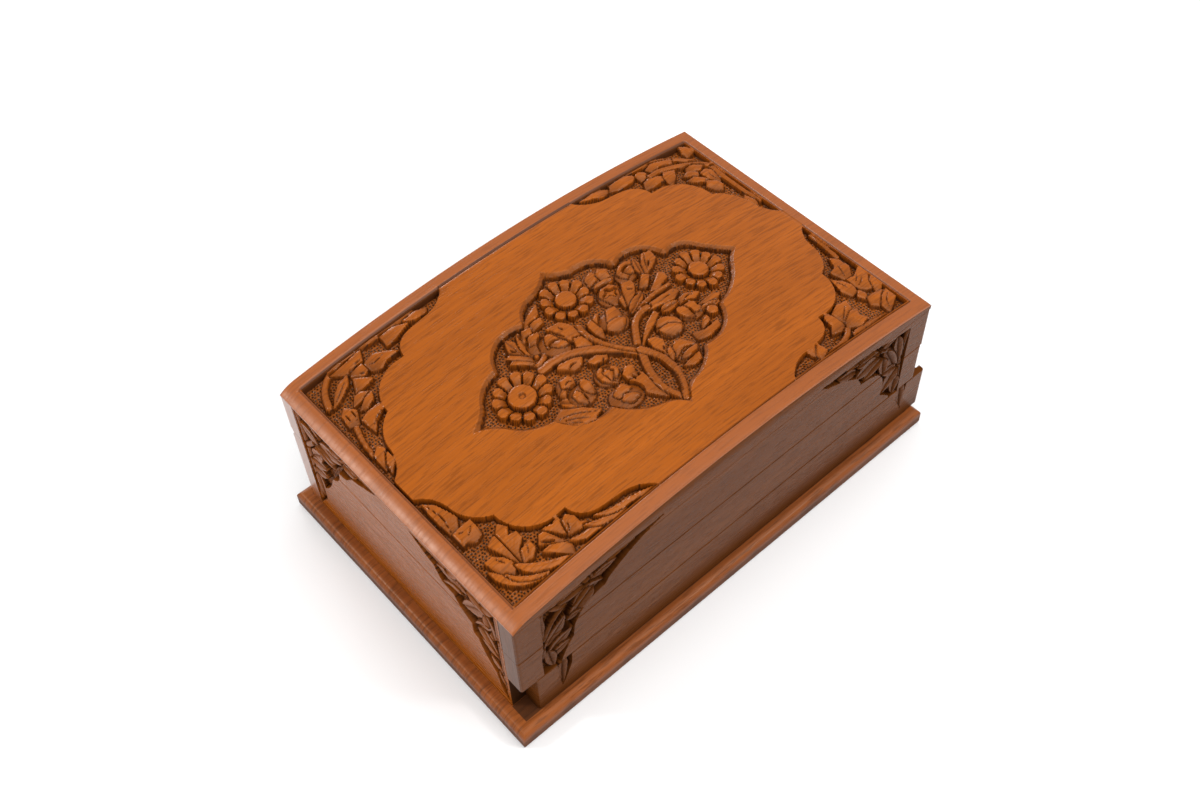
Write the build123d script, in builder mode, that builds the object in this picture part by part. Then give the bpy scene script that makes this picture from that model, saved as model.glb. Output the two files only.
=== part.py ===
"""Wooden box with an arched hinged lid and a hidden sliding strip in its front.

Millimetres, +Z up. The origin is the centre of the base board's underside, +X runs along
the box and the front looks along -Y. The front strip is modelled slid open to the right.
"""
import os
from math import atan2, degrees, radians, sin, sqrt, tan

from build123d import *

# Tray and lid, outside sizes
tray_length = 250.0
tray_width = 164.0
tray_height = 51.5
lid_wall_height = 25.3
seam_gap = 0.2
lid_overhang_right = 0.8

# Boards
front_thickness = 9.5
wall_thickness = 9.0
end_clearance = 0.2

# Base board
plinth_thickness = 10.0
plinth_overhang_side = 6.2
plinth_overhang_front = 5.4
plinth_top_round = 3.5
plinth_bottom_round = 1.0

# Arched top board
board_edge_height = 3.0
arch_rise = 10.0
bullnose_width = 8.5
bullnose_foot = 0.8
right_edge_round = 1.0
long_edge_round = 0.8

# Carving of the lid's top, drawn for a lid of the plan's length and width and scaled with the tray
carving_plan_length = 250.0
carving_plan_width = 164.0
carving_centre_x = 1.7
frame_inset_left = 8.6
frame_inset_right = 6.8
frame_inset_front = 8.6
frame_inset_back = 7.6
corner_recess_depth = 3.2
medallion_depth = 3.4
medallion_wall_share = 0.975
flower_ring_depth = 2.0
flower_ring_width = 2.6
petal_bulge = 0.3

# Sliding front strip
slide_opening_height = 27.0
slide_travel = 8.0
slide_clearance_below = 0.15
slide_clearance_above = 0.3
groove_width = 3.3
groove_depth = 3.4
tongue_width = 3.0
tongue_height = 3.1
tongue_end_margin = 12.0
peg_radius = 2.0
peg_height = 5.0
peg_seat_depth = 6.0
peg_end_distance = 45.0
peg_slot_clearance = 0.3
peg_slot_depth = 6.0

# Catch between the slide and the lid
catch_block_length = 28.0
catch_block_depth = 9.5
catch_block_height = 18.0
catch_block_rise = 5.0
hook_thickness = 2.0
hook_leg_width = 8.0
hook_toe_height = 5.0
hook_foot_above_plinth = 4.0
hook_gap = 0.5
hook_top_margin = 4.0
keeper_length = 30.0
keeper_depth = 12.0
keeper_height = 10.0
block_edge_round = 1.0

# Hinges
hinge_end_distance = 50.0
hinge_length = 25.0
hinge_inset = 2.5
hinge_leaf_thickness = 1.0
hinge_leaf_width = 6.0
knuckle_radius = 1.7
knuckle_gap = 0.1
knuckle_relief = 0.3
hinge_pin_radius = 0.8
hinge_pin_clearance = 0.05
lid_stop_angle = 101.0
cut_margin = 1.0

# Screws
leaf_screw_spacing = 14.0
leaf_screw_inset = 1.9
leaf_screw_radius = 0.8
leaf_screw_head_radius = 1.5
leaf_screw_head_height = 0.7
leaf_screw_length = 8.0
plinth_screw_radius = 1.6
plinth_screw_head_radius = 3.2
plinth_screw_head_height = 1.6
plinth_screw_length = 22.0
plinth_screw_sink = 0.4
plinth_screw_side_inset = 42.0
plinth_screw_back_inset = 85.0
catch_screw_radius = 1.2
catch_screw_head_radius = 2.2
catch_screw_head_height = 1.0
catch_screw_length = 8.0
catch_screw_spacing = 9.0
screw_tip_length = 2.0
screw_slot_width = 0.5
screw_slot_depth = 0.4
pilot_clearance = 0.02

# Places that follow from the sizes above
half_length = tray_length / 2
half_width = tray_width / 2
tray_top = plinth_thickness + tray_height
lid_bottom = tray_top + seam_gap
board_bottom = lid_bottom + lid_wall_height
board_end_top = board_bottom + board_edge_height
crown_height = board_end_top + arch_rise
lid_right = half_length + lid_overhang_right
front_back_face = -half_width + front_thickness
rail_bottom = plinth_thickness + slide_opening_height
slide_centre_y = -half_width + front_thickness / 2
slide_bottom = plinth_thickness + slide_clearance_below
slide_top = rail_bottom - slide_clearance_above
peg_x = half_length - peg_end_distance
peg_places = [(x, slide_centre_y) for x in (-peg_x, peg_x)]
axis_y = half_width - hinge_inset
axis_z = tray_top + seam_gap / 2
back_inner_face = half_width - wall_thickness
hinge_places = {"left": hinge_end_distance - half_length, "right": half_length - hinge_end_distance}
leaf_inner_edge = axis_y - hinge_leaf_width
leaf_screw_y = leaf_inner_edge + leaf_screw_inset
bevel_slope = tan(radians(lid_stop_angle / 2))
hook_bottom = plinth_thickness + hook_foot_above_plinth
keeper_bottom = hook_bottom + hook_toe_height + hook_gap
keeper_left_open = hook_gap + slide_travel
block_bottom = lid_bottom + catch_block_rise
block_face = front_back_face + catch_block_depth
hook_top = block_bottom + catch_block_height - hook_top_margin
hook_face = block_face + hook_thickness

os.makedirs("parts", exist_ok=True)


def save(piece, name):
    """Labels one finished piece and writes its STEP file."""
    piece.part.label = name
    export_step(piece.part, f"parts/{name}.step")


def board(x_range, y_range, z_range):
    """Adds a plain rectangular board between the given faces to the piece being built."""
    low_corner = (x_range[0], y_range[0], z_range[0])
    length, width, height = (span[1] - span[0] for span in (x_range, y_range, z_range))
    with Locations(low_corner):
        Box(length, width, height, align=(Align.MIN, Align.MIN, Align.MIN))


def wood_screw(radius, head_radius, head_height, length):
    """A countersunk slotted screw, head upward, the head's top at the origin."""
    with BuildPart() as screw:
        with BuildSketch(Plane.XZ):
            with BuildLine():
                Polyline(
                    (0, 0),
                    (head_radius, 0),
                    (radius, -head_height),
                    (radius, -length + screw_tip_length),
                    (0, -length),
                    close=True,
                )
            make_face()
        revolve(axis=Axis.Z)
        with BuildSketch(Plane.XY):
            Rectangle(2 * head_radius, screw_slot_width)
        extrude(amount=-screw_slot_depth, mode=Mode.SUBTRACT)
    return screw.part


def screw_seat(radius, head_radius, head_height, length):
    """The hole that a wood_screw of the same sizes fits."""
    with BuildPart() as seat:
        with BuildSketch(Plane.XZ):
            with BuildLine():
                Polyline(
                    (0, 0),
                    (head_radius + pilot_clearance, 0),
                    (radius + pilot_clearance, -head_height),
                    (radius + pilot_clearance, -length + screw_tip_length),
                    (0, -length - pilot_clearance),
                    close=True,
                )
            make_face()
        revolve(axis=Axis.Z)
    return seat.part


def bevel_wedge(direction):
    """The long wedge cut from a back wall beside the hinge line: direction is 1 up, -1 down."""
    reach = hinge_inset + cut_margin
    with BuildPart() as wedge:
        with BuildSketch(Plane.YZ.offset(-half_length - cut_margin)):
            with BuildLine():
                Polyline(
                    (axis_y, axis_z),
                    (axis_y + reach, axis_z),
                    (axis_y + reach, axis_z + direction * reach * bevel_slope),
                    close=True,
                )
            make_face()
        extrude(amount=tray_length + lid_overhang_right + 2 * cut_margin)
    return wedge.part


def hinge_seats(direction):
    """Leaf mortises and knuckle reliefs of both hinges: direction 1 for the lid, -1 for the tray."""
    with BuildPart() as seats:
        for hinge_x in hinge_places.values():
            with BuildSketch(Plane.YZ.offset(hinge_x - hinge_length / 2)):
                with Locations((axis_y, axis_z)):
                    Circle(knuckle_radius + knuckle_relief)
            extrude(amount=hinge_length)
            depth = seam_gap / 2 + hinge_leaf_thickness
            with BuildSketch(Plane.XY.offset(axis_z)):
                with Locations((hinge_x, axis_y - hinge_leaf_width / 2)):
                    Rectangle(hinge_length, hinge_leaf_width)
            extrude(amount=direction * depth)
    return seats.part


def leaf_screw_locations(direction):
    """Where the screws of both hinges start: direction is 1 for the lid, -1 for the tray."""
    turn = 180 if direction > 0 else 0
    head_z = axis_z + direction * seam_gap / 2
    return [
        Location((hinge_x + side * leaf_screw_spacing / 2, leaf_screw_y, head_z), (turn, 0, 0))
        for hinge_x in hinge_places.values()
        for side in (-1, 1)
    ]


def hinge_leaf(hinge_x, direction):
    """One leaf: the tray's has the two outer knuckles (direction -1), the lid's the middle one (1)."""
    third = hinge_length / 3
    if direction < 0:
        outer_start = third / 2 + knuckle_gap
        spans = [(-hinge_length / 2, -outer_start), (outer_start, hinge_length / 2)]
    else:
        spans = [(-third / 2, third / 2)]
    plate_z = axis_z + direction * seam_gap / 2
    with BuildPart() as leaf:
        with BuildSketch(Plane.XY.offset(plate_z)):
            with Locations((hinge_x, axis_y - hinge_leaf_width / 2)):
                Rectangle(hinge_length, hinge_leaf_width)
        extrude(amount=direction * hinge_leaf_thickness)
        with BuildSketch(Plane.YZ.offset(hinge_x - hinge_length / 2)):
            with Locations((axis_y, axis_z)):
                Circle(knuckle_radius + knuckle_relief)
        extrude(amount=hinge_length, mode=Mode.SUBTRACT)
        for start, end in spans:
            with BuildSketch(Plane.YZ.offset(hinge_x + start)):
                with Locations((axis_y, axis_z)):
                    Circle(knuckle_radius)
                web_width = knuckle_radius + 2 * knuckle_relief
                web_z = plate_z + direction * hinge_leaf_thickness / 2
                with Locations((axis_y - web_width / 2, web_z)):
                    Rectangle(web_width, hinge_leaf_thickness)
            extrude(amount=end - start)
        with BuildSketch(Plane.YZ.offset(hinge_x - hinge_length / 2)):
            with Locations((axis_y, axis_z)):
                Circle(hinge_pin_radius + hinge_pin_clearance)
        extrude(amount=hinge_length, mode=Mode.SUBTRACT)
        with Locations(*leaf_screw_locations(direction)):
            add(leaf_screw_seat, mode=Mode.SUBTRACT)
    return leaf


leaf_screw = wood_screw(
    leaf_screw_radius, leaf_screw_head_radius, leaf_screw_head_height, leaf_screw_length
)
leaf_screw_seat = screw_seat(
    leaf_screw_radius, leaf_screw_head_radius, leaf_screw_head_height, leaf_screw_length
)
plinth_screw = wood_screw(
    plinth_screw_radius, plinth_screw_head_radius, plinth_screw_head_height, plinth_screw_length
)
plinth_screw_seat = screw_seat(
    plinth_screw_radius, plinth_screw_head_radius, plinth_screw_head_height, plinth_screw_length
)
catch_screw = wood_screw(
    catch_screw_radius, catch_screw_head_radius, catch_screw_head_height, catch_screw_length
)
catch_screw_seat = screw_seat(
    catch_screw_radius, catch_screw_head_radius, catch_screw_head_height, catch_screw_length
)

# Plinth screws: two up into each side wall and two into the back wall, heads downward
side_screw_x = half_length - wall_thickness / 2
side_screw_y = half_width - plinth_screw_side_inset
back_screw_x = half_length - plinth_screw_back_inset
back_screw_y = half_width - wall_thickness / 2
plinth_screw_places = [
    Location((x, y, plinth_screw_sink), (180, 0, 0))
    for x in (-side_screw_x, side_screw_x)
    for y in (-side_screw_y, side_screw_y)
]
plinth_screw_places += [
    Location((x, back_screw_y, plinth_screw_sink), (180, 0, 0))
    for x in (-back_screw_x, back_screw_x)
]

# Base board
with BuildPart() as plinth:
    with BuildSketch():
        Rectangle(tray_length + 2 * plinth_overhang_side, tray_width + 2 * plinth_overhang_front)
    extrude(amount=plinth_thickness)
    fillet(plinth.faces().sort_by(Axis.Z)[-1].edges(), radius=plinth_top_round)
    fillet(plinth.faces().sort_by(Axis.Z)[0].edges(), radius=plinth_bottom_round)
    with Locations(*[(x, y, plinth_thickness) for x, y in peg_places]):
        Hole(radius=peg_radius, depth=peg_seat_depth)
    with BuildSketch():
        with Locations(*[(place.position.X, place.position.Y) for place in plinth_screw_places]):
            Circle(plinth_screw_head_radius + pilot_clearance)
    extrude(amount=plinth_screw_sink, mode=Mode.SUBTRACT)
    with Locations(*plinth_screw_places):
        add(plinth_screw_seat, mode=Mode.SUBTRACT)
save(plinth, "plinth")

with BuildPart() as plinth_screws:
    with Locations(*plinth_screw_places):
        add(plinth_screw)
save(plinth_screws, "plinth_screws")

# Tray side walls, butted between the front strips and the back wall
side_wall_front = front_back_face + end_clearance
for side, inner, outer in (
    ("left", -half_length + wall_thickness, -half_length),
    ("right", half_length - wall_thickness, half_length),
):
    with BuildPart() as tray_side_wall:
        board(sorted((inner, outer)), (side_wall_front, back_inner_face), (plinth_thickness, tray_top))
        with Locations(*plinth_screw_places):
            add(plinth_screw_seat, mode=Mode.SUBTRACT)
    save(tray_side_wall, f"tray_{side}_wall")

# Tray back wall, with the hinge mortises and the bevel along its upper outer edge
with BuildPart() as tray_back_wall:
    board((-half_length, half_length), (back_inner_face, half_width), (plinth_thickness, tray_top))
    add(bevel_wedge(-1), mode=Mode.SUBTRACT)
    add(hinge_seats(-1), mode=Mode.SUBTRACT)
    with Locations(*leaf_screw_locations(-1)):
        add(leaf_screw_seat, mode=Mode.SUBTRACT)
    with Locations(*plinth_screw_places):
        add(plinth_screw_seat, mode=Mode.SUBTRACT)
save(tray_back_wall, "tray_back_wall")

# Fixed upper strip of the front, with the tongue that guides the slide
with BuildPart() as tray_front_rail:
    board((-half_length, half_length), (-half_width, front_back_face), (rail_bottom, tray_top))
    with BuildSketch(Plane.XY.offset(rail_bottom)):
        with Locations((0, slide_centre_y)):
            Rectangle(tray_length - 2 * tongue_end_margin, tongue_width)
    extrude(amount=-tongue_height)
save(tray_front_rail, "tray_front_rail")

# Pegs in the base board, one in each slot of the slide's lower edge
with BuildPart() as guide_pegs:
    with BuildSketch(Plane.XY.offset(plinth_thickness - peg_seat_depth)):
        with Locations(*peg_places):
            Circle(peg_radius)
    extrude(amount=peg_seat_depth + peg_height)
save(guide_pegs, "guide_pegs")

# Sliding front strip, slid open to the right by its whole travel
slide_left = -half_length + slide_travel
slide_right = half_length + slide_travel
slot_length = slide_travel + 2 * (peg_radius + peg_slot_clearance)
with BuildPart() as sliding_panel:
    board((slide_left, slide_right), (-half_width, front_back_face), (slide_bottom, slide_top))
    with BuildSketch(Plane.XY.offset(slide_top)):
        with Locations(((slide_left + slide_right) / 2, slide_centre_y)):
            Rectangle(tray_length, groove_width)
    extrude(amount=-groove_depth, mode=Mode.SUBTRACT)
    with BuildSketch(Plane.XY.offset(slide_bottom)):
        with Locations(*[(x + slide_travel / 2, y) for x, y in peg_places]):
            SlotOverall(slot_length, 2 * (peg_radius + peg_slot_clearance))
    extrude(amount=peg_slot_depth, mode=Mode.SUBTRACT)
save(sliding_panel, "sliding_panel")

# Keeper on the slide's back, clear of the hook's toe while the slide is open
with BuildPart() as keeper_block:
    board(
        (keeper_left_open, keeper_left_open + keeper_length),
        (front_back_face, front_back_face + keeper_depth),
        (keeper_bottom, keeper_bottom + keeper_height),
    )
    fillet(keeper_block.faces().sort_by(Axis.Y)[-1].edges(), radius=block_edge_round)
save(keeper_block, "keeper_block")

# Lid walls
with BuildPart() as lid_front_wall:
    board((-half_length, lid_right), (-half_width, front_back_face), (lid_bottom, board_bottom))
save(lid_front_wall, "lid_front_wall")

for side, inner, outer in (
    ("left", -half_length + wall_thickness, -half_length),
    ("right", half_length - wall_thickness, lid_right),
):
    with BuildPart() as lid_side_wall:
        board(sorted((inner, outer)), (front_back_face, back_inner_face), (lid_bottom, board_bottom))
    save(lid_side_wall, f"lid_{side}_wall")

with BuildPart() as lid_back_wall:
    board((-half_length, lid_right), (back_inner_face, half_width), (lid_bottom, board_bottom))
    add(bevel_wedge(1), mode=Mode.SUBTRACT)
    add(hinge_seats(1), mode=Mode.SUBTRACT)
    with Locations(*leaf_screw_locations(1)):
        add(leaf_screw_seat, mode=Mode.SUBTRACT)
save(lid_back_wall, "lid_back_wall")

# Plan of the carving on the lid's top: outlines are corners (x, y, bulge), where a side bows to its
# left by bulge times its length, and leaves and buds are (base x, base y, tip x, tip y, width)
field_quarter = [
    (40.2, 76.0, 0), (40.2, 74.5, -0.12), (56.7, 66.0, 0.02), (67.5, 64.8, 0.17), (75.7, 55.0, 0),
    (82.0, 55.2, 0.2), (98.7, 36.7, 0.14), (109.7, 20.0, -0.11), (118.0, 6.5, 0), (121.0, 6.5, 0),
]
medallion_outline = [
    (-79.0, 0.5, -0.06), (-68.0, 8.5, 0.12), (-51.0, 20.0, 0.24), (-25.0, 31.5, 0.15),
    (-12.0, 42.0, -0.09), (1.5, 50.0, -0.09), (12.0, 42.0, 0.17), (31.0, 32.5, 0.24),
    (54.5, 22.3, 0.19), (70.0, 16.0, -0.03), (82.5, 2.0, -0.04), (74.0, -5.0, 0.09),
    (51.5, -20.5, 0.18), (28.0, -34.5, 0.1), (10.0, -45.0, -0.09), (0.5, -53.5, -0.09),
    (-8.0, -46.0, 0.11), (-26.5, -32.0, 0.2), (-49.5, -20.0, 0.12), (-67.0, -8.0, -0.08),
]
flowers = [(-50.5, 0.5, 6.0, 13.4, 12), (-0.5, 29.3, 4.6, 11.9, 11), (58.5, 3.0, 4.4, 11.9, 12)]
medallion_stems = [
    ((-37, 5.2), (-16, 0.8), (4, -17), 4.0),
    ((-6.8, 15), (-5.5, -1), (3.5, -16), 2.2),
    ((47, 1.0), (22, -0.6), (4, -17), 2.8),
    ((1, -50), (-2.2, -34), (4.5, -16), 2.6),
    ((1, -50), (8.6, -34), (4.5, -16), 2.8),
]
medallion_leaves = [
    (-33, 9, -39, 28, 8.5), (-31, 12, -30.5, 27, 5.0), (-26, 28, -13.5, 35, 6.0), (-9, 4, -17.5, 20, 6.5),
    (2, 2, 4.5, 13, 5.0), (20, 1, 30, 20, 6.5), (13, 29, 25.5, 32, 8.0), (37, 17, 49, 26.5, 7.0),
    (30, 5, 45, 13, 5.0), (8, -13.5, 25, -4.6, 5.0), (33, -4.5, 47.5, -9, 4.5), (42, -12.5, 55, -15, 4.5),
    (31, -26, 47, -27, 6.5), (14.5, -28, 12, -15, 6.0), (-3, -17, -12, -23, 6.0),
    (-10, -12, -23, -8.5, 4.5), (-31, -28.5, -49, -18.5, 8.5), (-5, -31, -12, -40, 4.5),
]
medallion_buds = [
    (-25, 7, -19.5, 18.5, 9.0), (5.5, -1.5, 9, 9, 9.5), (17, 11.5, 17, 22.5, 9.5), (26, 20, 39, 27, 9.0),
    (28.5, -11, 18.5, -17, 9.0), (31, -10.5, 42, -15, 8.5), (15, -29, 25, -27, 9.0),
    (-21, -15, -10, -16, 9.0), (-36.5, -9.5, -28.5, -5, 8.0), (-35, -17, -23.5, -16, 10.0),
    (-24, -31, -11, -29, 8.5),
]
corner_leaves = [
    (-109.5, -29.5, -112.5, -8.5, 5.6), (-108.5, -30, -108.3, -42, 8.5), (-108, -63, -109.5, -44.5, 7.5),
    (-102.6, -61.5, -101.2, -41, 9.0), (-101.5, -61, -93.5, -56, 6.0), (-83, -66, -90.5, -56, 6.0),
    (-80.6, -65.8, -84.0, -55.8, 6.0), (-81, -66.5, -73.5, -58.5, 8.0), (-111, -57, -99, -72, 4.0),
    (-104, -61, -89, -72.6, 3.4), (-95, -60, -83.5, -72.6, 4.4), (-80, -68.8, -52, -72.6, 3.0),
    (-100.5, 67, -113, 58, 4.6), (-104, 70.5, -85.5, 71, 6.0), (-97, 62.5, -79, 64.5, 6.5),
    (-89, 64, -74, 59.5, 5.0), (-76, 68.5, -61.5, 70, 6.5), (-98, 61.5, -113, 50, 5.5),
    (-109, 42, -107, 55, 6.5), (-106.5, 47, -94.5, 51, 6.0), (-107.2, 34.5, -97.6, 39.5, 5.5),
    (-109.5, 26, -113, 13, 4.0), (111, 66, 115.5, 73, 6.0), (88, 71.5, 105, 68, 6.0),
    (66, 70, 80, 69, 6.0), (47, 72.2, 62, 71, 3.6), (90, 65, 77, 60.8, 6.0), (93, 63, 91, 54.5, 6.5),
    (99, 57, 111, 49, 6.0), (101, 46, 111.5, 39, 6.5), (110, 57, 115.5, 42, 6.0), (90, 66, 115, 58.5, 3.0),
    (112.5, 34, 114.2, 18, 4.4), (112.6, -44, 112.8, -30, 6.5), (106, -47, 108.5, -35.5, 5.0),
    (107, -54, 101.5, -41.5, 7.0), (108.5, -55, 116.8, -46, 7.5), (106.5, -67.5, 115.5, -57, 8.0),
    (84, -65, 96.0, -54.5, 8.0), (83, -65.5, 79.5, -55.5, 5.5), (84, -66, 74.5, -64, 5.0),
    (84.5, -67, 102, -69, 6.5), (66, -67, 57, -68.5, 5.0), (103, -68, 112, -72, 5.0),
]


def on_lid(x, y):
    """A place of the carving plan, on a lid of the tray's own length and width."""
    return Vector(x * tray_length / carving_plan_length, y * tray_width / carving_plan_width)


def bowed_side(start, end, bulge):
    """Adds one side of an outline: straight, or bowed to its left by bulge times its length."""
    chord = end - start
    if bulge:
        middle = (start + end) / 2 + Vector(-chord.Y, chord.X) * bulge
        ThreePointArc(start, middle, end)
    else:
        Line(start, end)


def outline(corners, mode=Mode.ADD):
    """Adds the face inside a closed outline to the sketch being drawn."""
    with BuildLine() as sides:
        for (x0, y0, bulge), (x1, y1, _) in zip(corners, corners[1:] + corners[:1]):
            bowed_side(on_lid(x0, y0), on_lid(x1, y1), bulge)
    make_face(sides.edges(), mode=mode)


def leave_leaf(base_x, base_y, tip_x, tip_y, width):
    """Leaves a leaf standing: two arcs from its base to its tip."""
    base, tip = on_lid(base_x, base_y), on_lid(tip_x, tip_y)
    bulge = width / 2 / (tip - base).length
    with BuildLine() as sides:
        bowed_side(base, tip, bulge)
        bowed_side(tip, base, bulge)
    make_face(sides.edges(), mode=Mode.SUBTRACT)


def leave_bud(base_x, base_y, tip_x, tip_y, width):
    """Leaves a bud standing: an ellipse as long as from its base to its tip."""
    base, tip = on_lid(base_x, base_y), on_lid(tip_x, tip_y)
    middle = (base + tip) / 2
    turn = degrees(atan2(tip.Y - base.Y, tip.X - base.X))
    with Locations(Location((middle.X, middle.Y, 0), (0, 0, turn))):
        Ellipse((tip - base).length / 2, width / 2, mode=Mode.SUBTRACT)


def leave_stem(start, middle, end, width):
    """Leaves a stem standing: a band of even width along an arc through three places."""
    first, second, third = (on_lid(*place) for place in (start, middle, end))
    along = [second - first, third - first, third - second]
    side = [Vector(-step.Y, step.X).normalized() * width / 2 for step in along]
    with BuildLine() as sides:
        ThreePointArc(first + side[0], second + side[1], third + side[2])
        Line(third + side[2], third - side[2])
        ThreePointArc(third - side[2], second - side[1], first - side[0])
        Line(first - side[0], first + side[0])
    make_face(sides.edges(), mode=Mode.SUBTRACT)


def leave_flower(x, y, outer, petals):
    """Leaves a flower standing: a ring of round petals about its centre."""
    centre = on_lid(x, y)
    turn = 360 / round(petals)
    notch = Vector(outer - 2 * petal_bulge * outer * sin(radians(turn / 2)), 0)
    notches = [centre + notch.rotate(Axis.Z, turn * index) for index in range(round(petals))]
    with BuildLine() as sides:
        for start, end in zip(notches, notches[1:] + notches[:1]):
            bowed_side(start, end, -petal_bulge)
    make_face(sides.edges(), mode=Mode.SUBTRACT)


# Arched top board: flat below, an arc along the box above, rounded over at its left end
arch_radius = (half_length**2 + arch_rise**2) / (2 * arch_rise)


def arch_height(x):
    """Height of the arched top at a distance x from the middle."""
    return crown_height - arch_radius + sqrt(arch_radius**2 - x**2)


def draw_corners():
    """The four corner recesses: the frame's inside, less the plain field and the leaves."""
    low = (frame_inset_left - half_length, frame_inset_front - half_width)
    high = (half_length - frame_inset_right, half_width - frame_inset_back)
    with Locations(low):
        Rectangle(high[0] - low[0], high[1] - low[1], align=(Align.MIN, Align.MIN))
    field_end_x, field_end_y = field_quarter[-1][0], field_quarter[0][1]
    quarter = field_quarter + [(field_end_x, 0, 0), (0, 0, 0), (0, field_end_y, 0)]
    for side_x in (-1, 1):
        for side_y in (-1, 1):
            mirrored = [
                (side_x * x + carving_centre_x, side_y * y, side_x * side_y * bulge)
                for x, y, bulge in quarter
            ]
            outline(mirrored, mode=Mode.SUBTRACT)
    for leaf in corner_leaves:
        leave_leaf(*leaf)


def draw_medallion():
    """The middle recess, less its flowers, stems, leaves and buds."""
    share = medallion_wall_share
    outline([(x * share, y * share, bulge) for x, y, bulge in medallion_outline])
    for x, y, _, outer, petals in flowers:
        leave_flower(x, y, outer, petals)
    for stem in medallion_stems:
        leave_stem(*stem)
    for leaf in medallion_leaves:
        leave_leaf(*leaf)
    for bud in medallion_buds:
        leave_bud(*bud)


def draw_flower_rings():
    """The hollow ring round each flower's button."""
    for x, y, button, _, _ in flowers:
        centre = on_lid(x, y)
        with Locations((centre.X, centre.Y)):
            Circle(button + flower_ring_width)
            Circle(button, mode=Mode.SUBTRACT)


def carving(draw, depth):
    """A solid to cut from the top board: the drawn shapes, down to a floor that follows the arch."""
    with BuildPart() as cut:
        with BuildSketch(Plane.XY.offset(board_bottom)):
            draw()
        extrude(amount=board_edge_height + 2 * arch_rise)
        with BuildSketch(Plane.XZ):
            with BuildLine():
                floor = ThreePointArc(
                    (-half_length, board_end_top - depth),
                    (0, crown_height - depth),
                    (half_length, board_end_top - depth),
                )
                under = board_bottom - cut_margin
                Polyline(floor @ 1, (half_length, under), (-half_length, under), floor @ 0)
            make_face()
        extrude(amount=half_width, both=True, mode=Mode.SUBTRACT)
    return cut.part


nose_start = -half_length + bullnose_width
nose_start_z = arch_height(nose_start)
nose_tangent = (sqrt(arch_radius**2 - nose_start**2), -nose_start)
with BuildPart() as lid_top_board:
    with BuildSketch(Plane.XZ):
        with BuildLine():
            arch = ThreePointArc(
                (nose_start, nose_start_z), (0, crown_height), (lid_right, arch_height(lid_right))
            )
            nose = TangentArc(
                (nose_start, nose_start_z),
                (-half_length, board_bottom + bullnose_foot),
                tangent=(-nose_tangent[0], -nose_tangent[1]),
            )
            Polyline(
                nose @ 1,
                (-half_length, board_bottom),
                (lid_right, board_bottom),
                arch @ 1,
            )
        make_face()
    extrude(amount=half_width, both=True)
    right_edges = lid_top_board.edges().filter_by(Axis.Y).group_by(Axis.X)[-1]
    fillet(right_edges.sort_by(Axis.Z)[-1], radius=right_edge_round)
    arch_edges = lid_top_board.edges().filter_by(GeomType.CIRCLE).filter_by(lambda e: e.length > half_length)
    fillet(arch_edges, radius=long_edge_round)
    add(carving(draw_corners, corner_recess_depth), mode=Mode.SUBTRACT)
    add(carving(draw_medallion, medallion_depth), mode=Mode.SUBTRACT)
    add(carving(draw_flower_rings, flower_ring_depth), mode=Mode.SUBTRACT)
save(lid_top_board, "lid_top_board")

# Catch: a block inside the lid's front wall and a flat hook that hangs from it
hook_centre_x = -hook_leg_width / 2
screw_middle_z = (block_bottom + hook_top) / 2
catch_screw_places = [
    Location((hook_centre_x, hook_face, screw_middle_z + offset), (-90, 0, 0))
    for offset in (-catch_screw_spacing / 2, catch_screw_spacing / 2)
]
with BuildPart() as catch_block:
    board(
        (-catch_block_length / 2, catch_block_length / 2),
        (front_back_face, block_face),
        (block_bottom, block_bottom + catch_block_height),
    )
    fillet(catch_block.faces().sort_by(Axis.Y)[-1].edges(), radius=block_edge_round)
    with Locations(*catch_screw_places):
        add(catch_screw_seat, mode=Mode.SUBTRACT)
save(catch_block, "catch_block")

with BuildPart() as catch_hook:
    with BuildSketch(Plane.XZ.offset(-block_face)):
        with BuildLine():
            Polyline(
                (-hook_leg_width, hook_bottom),
                (slide_travel, hook_bottom),
                (slide_travel, hook_bottom + hook_toe_height),
                (0, hook_bottom + hook_toe_height),
                (0, hook_top),
                (-hook_leg_width, hook_top),
                close=True,
            )
        make_face()
    extrude(amount=-hook_thickness)
    with Locations(*catch_screw_places):
        add(catch_screw_seat, mode=Mode.SUBTRACT)
save(catch_hook, "catch_hook")

with BuildPart() as catch_screws:
    with Locations(*catch_screw_places):
        add(catch_screw)
save(catch_screws, "catch_screws")

# Hinges: two leaves and a pin each, and the screws of all the leaves
for side, hinge_x in hinge_places.items():
    save(hinge_leaf(hinge_x, -1), f"{side}_hinge_lower_leaf")
    save(hinge_leaf(hinge_x, 1), f"{side}_hinge_upper_leaf")
    with BuildPart() as hinge_pin:
        with BuildSketch(Plane.YZ.offset(hinge_x - hinge_length / 2)):
            with Locations((axis_y, axis_z)):
                Circle(hinge_pin_radius)
        extrude(amount=hinge_length)
    save(hinge_pin, f"{side}_hinge_pin")

for name, direction in (("tray_hinge_screws", -1), ("lid_hinge_screws", 1)):
    with BuildPart() as hinge_screws:
        with Locations(*leaf_screw_locations(direction)):
            add(leaf_screw)
    save(hinge_screws, name)
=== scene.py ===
"""Looks of a carved wooden box with an arched lid and a hidden sliding front strip.

The scene is in metres. Carving plans are drawn in millimetres on the face that they are cut
into: along x and y on the lid's top, along x and height on the long faces, and along y and
height on the short faces. The height of a carved face is 0 where the wood is uncut.
"""

import math

import bpy
import numpy as np
from mathutils import Matrix, Vector


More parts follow.
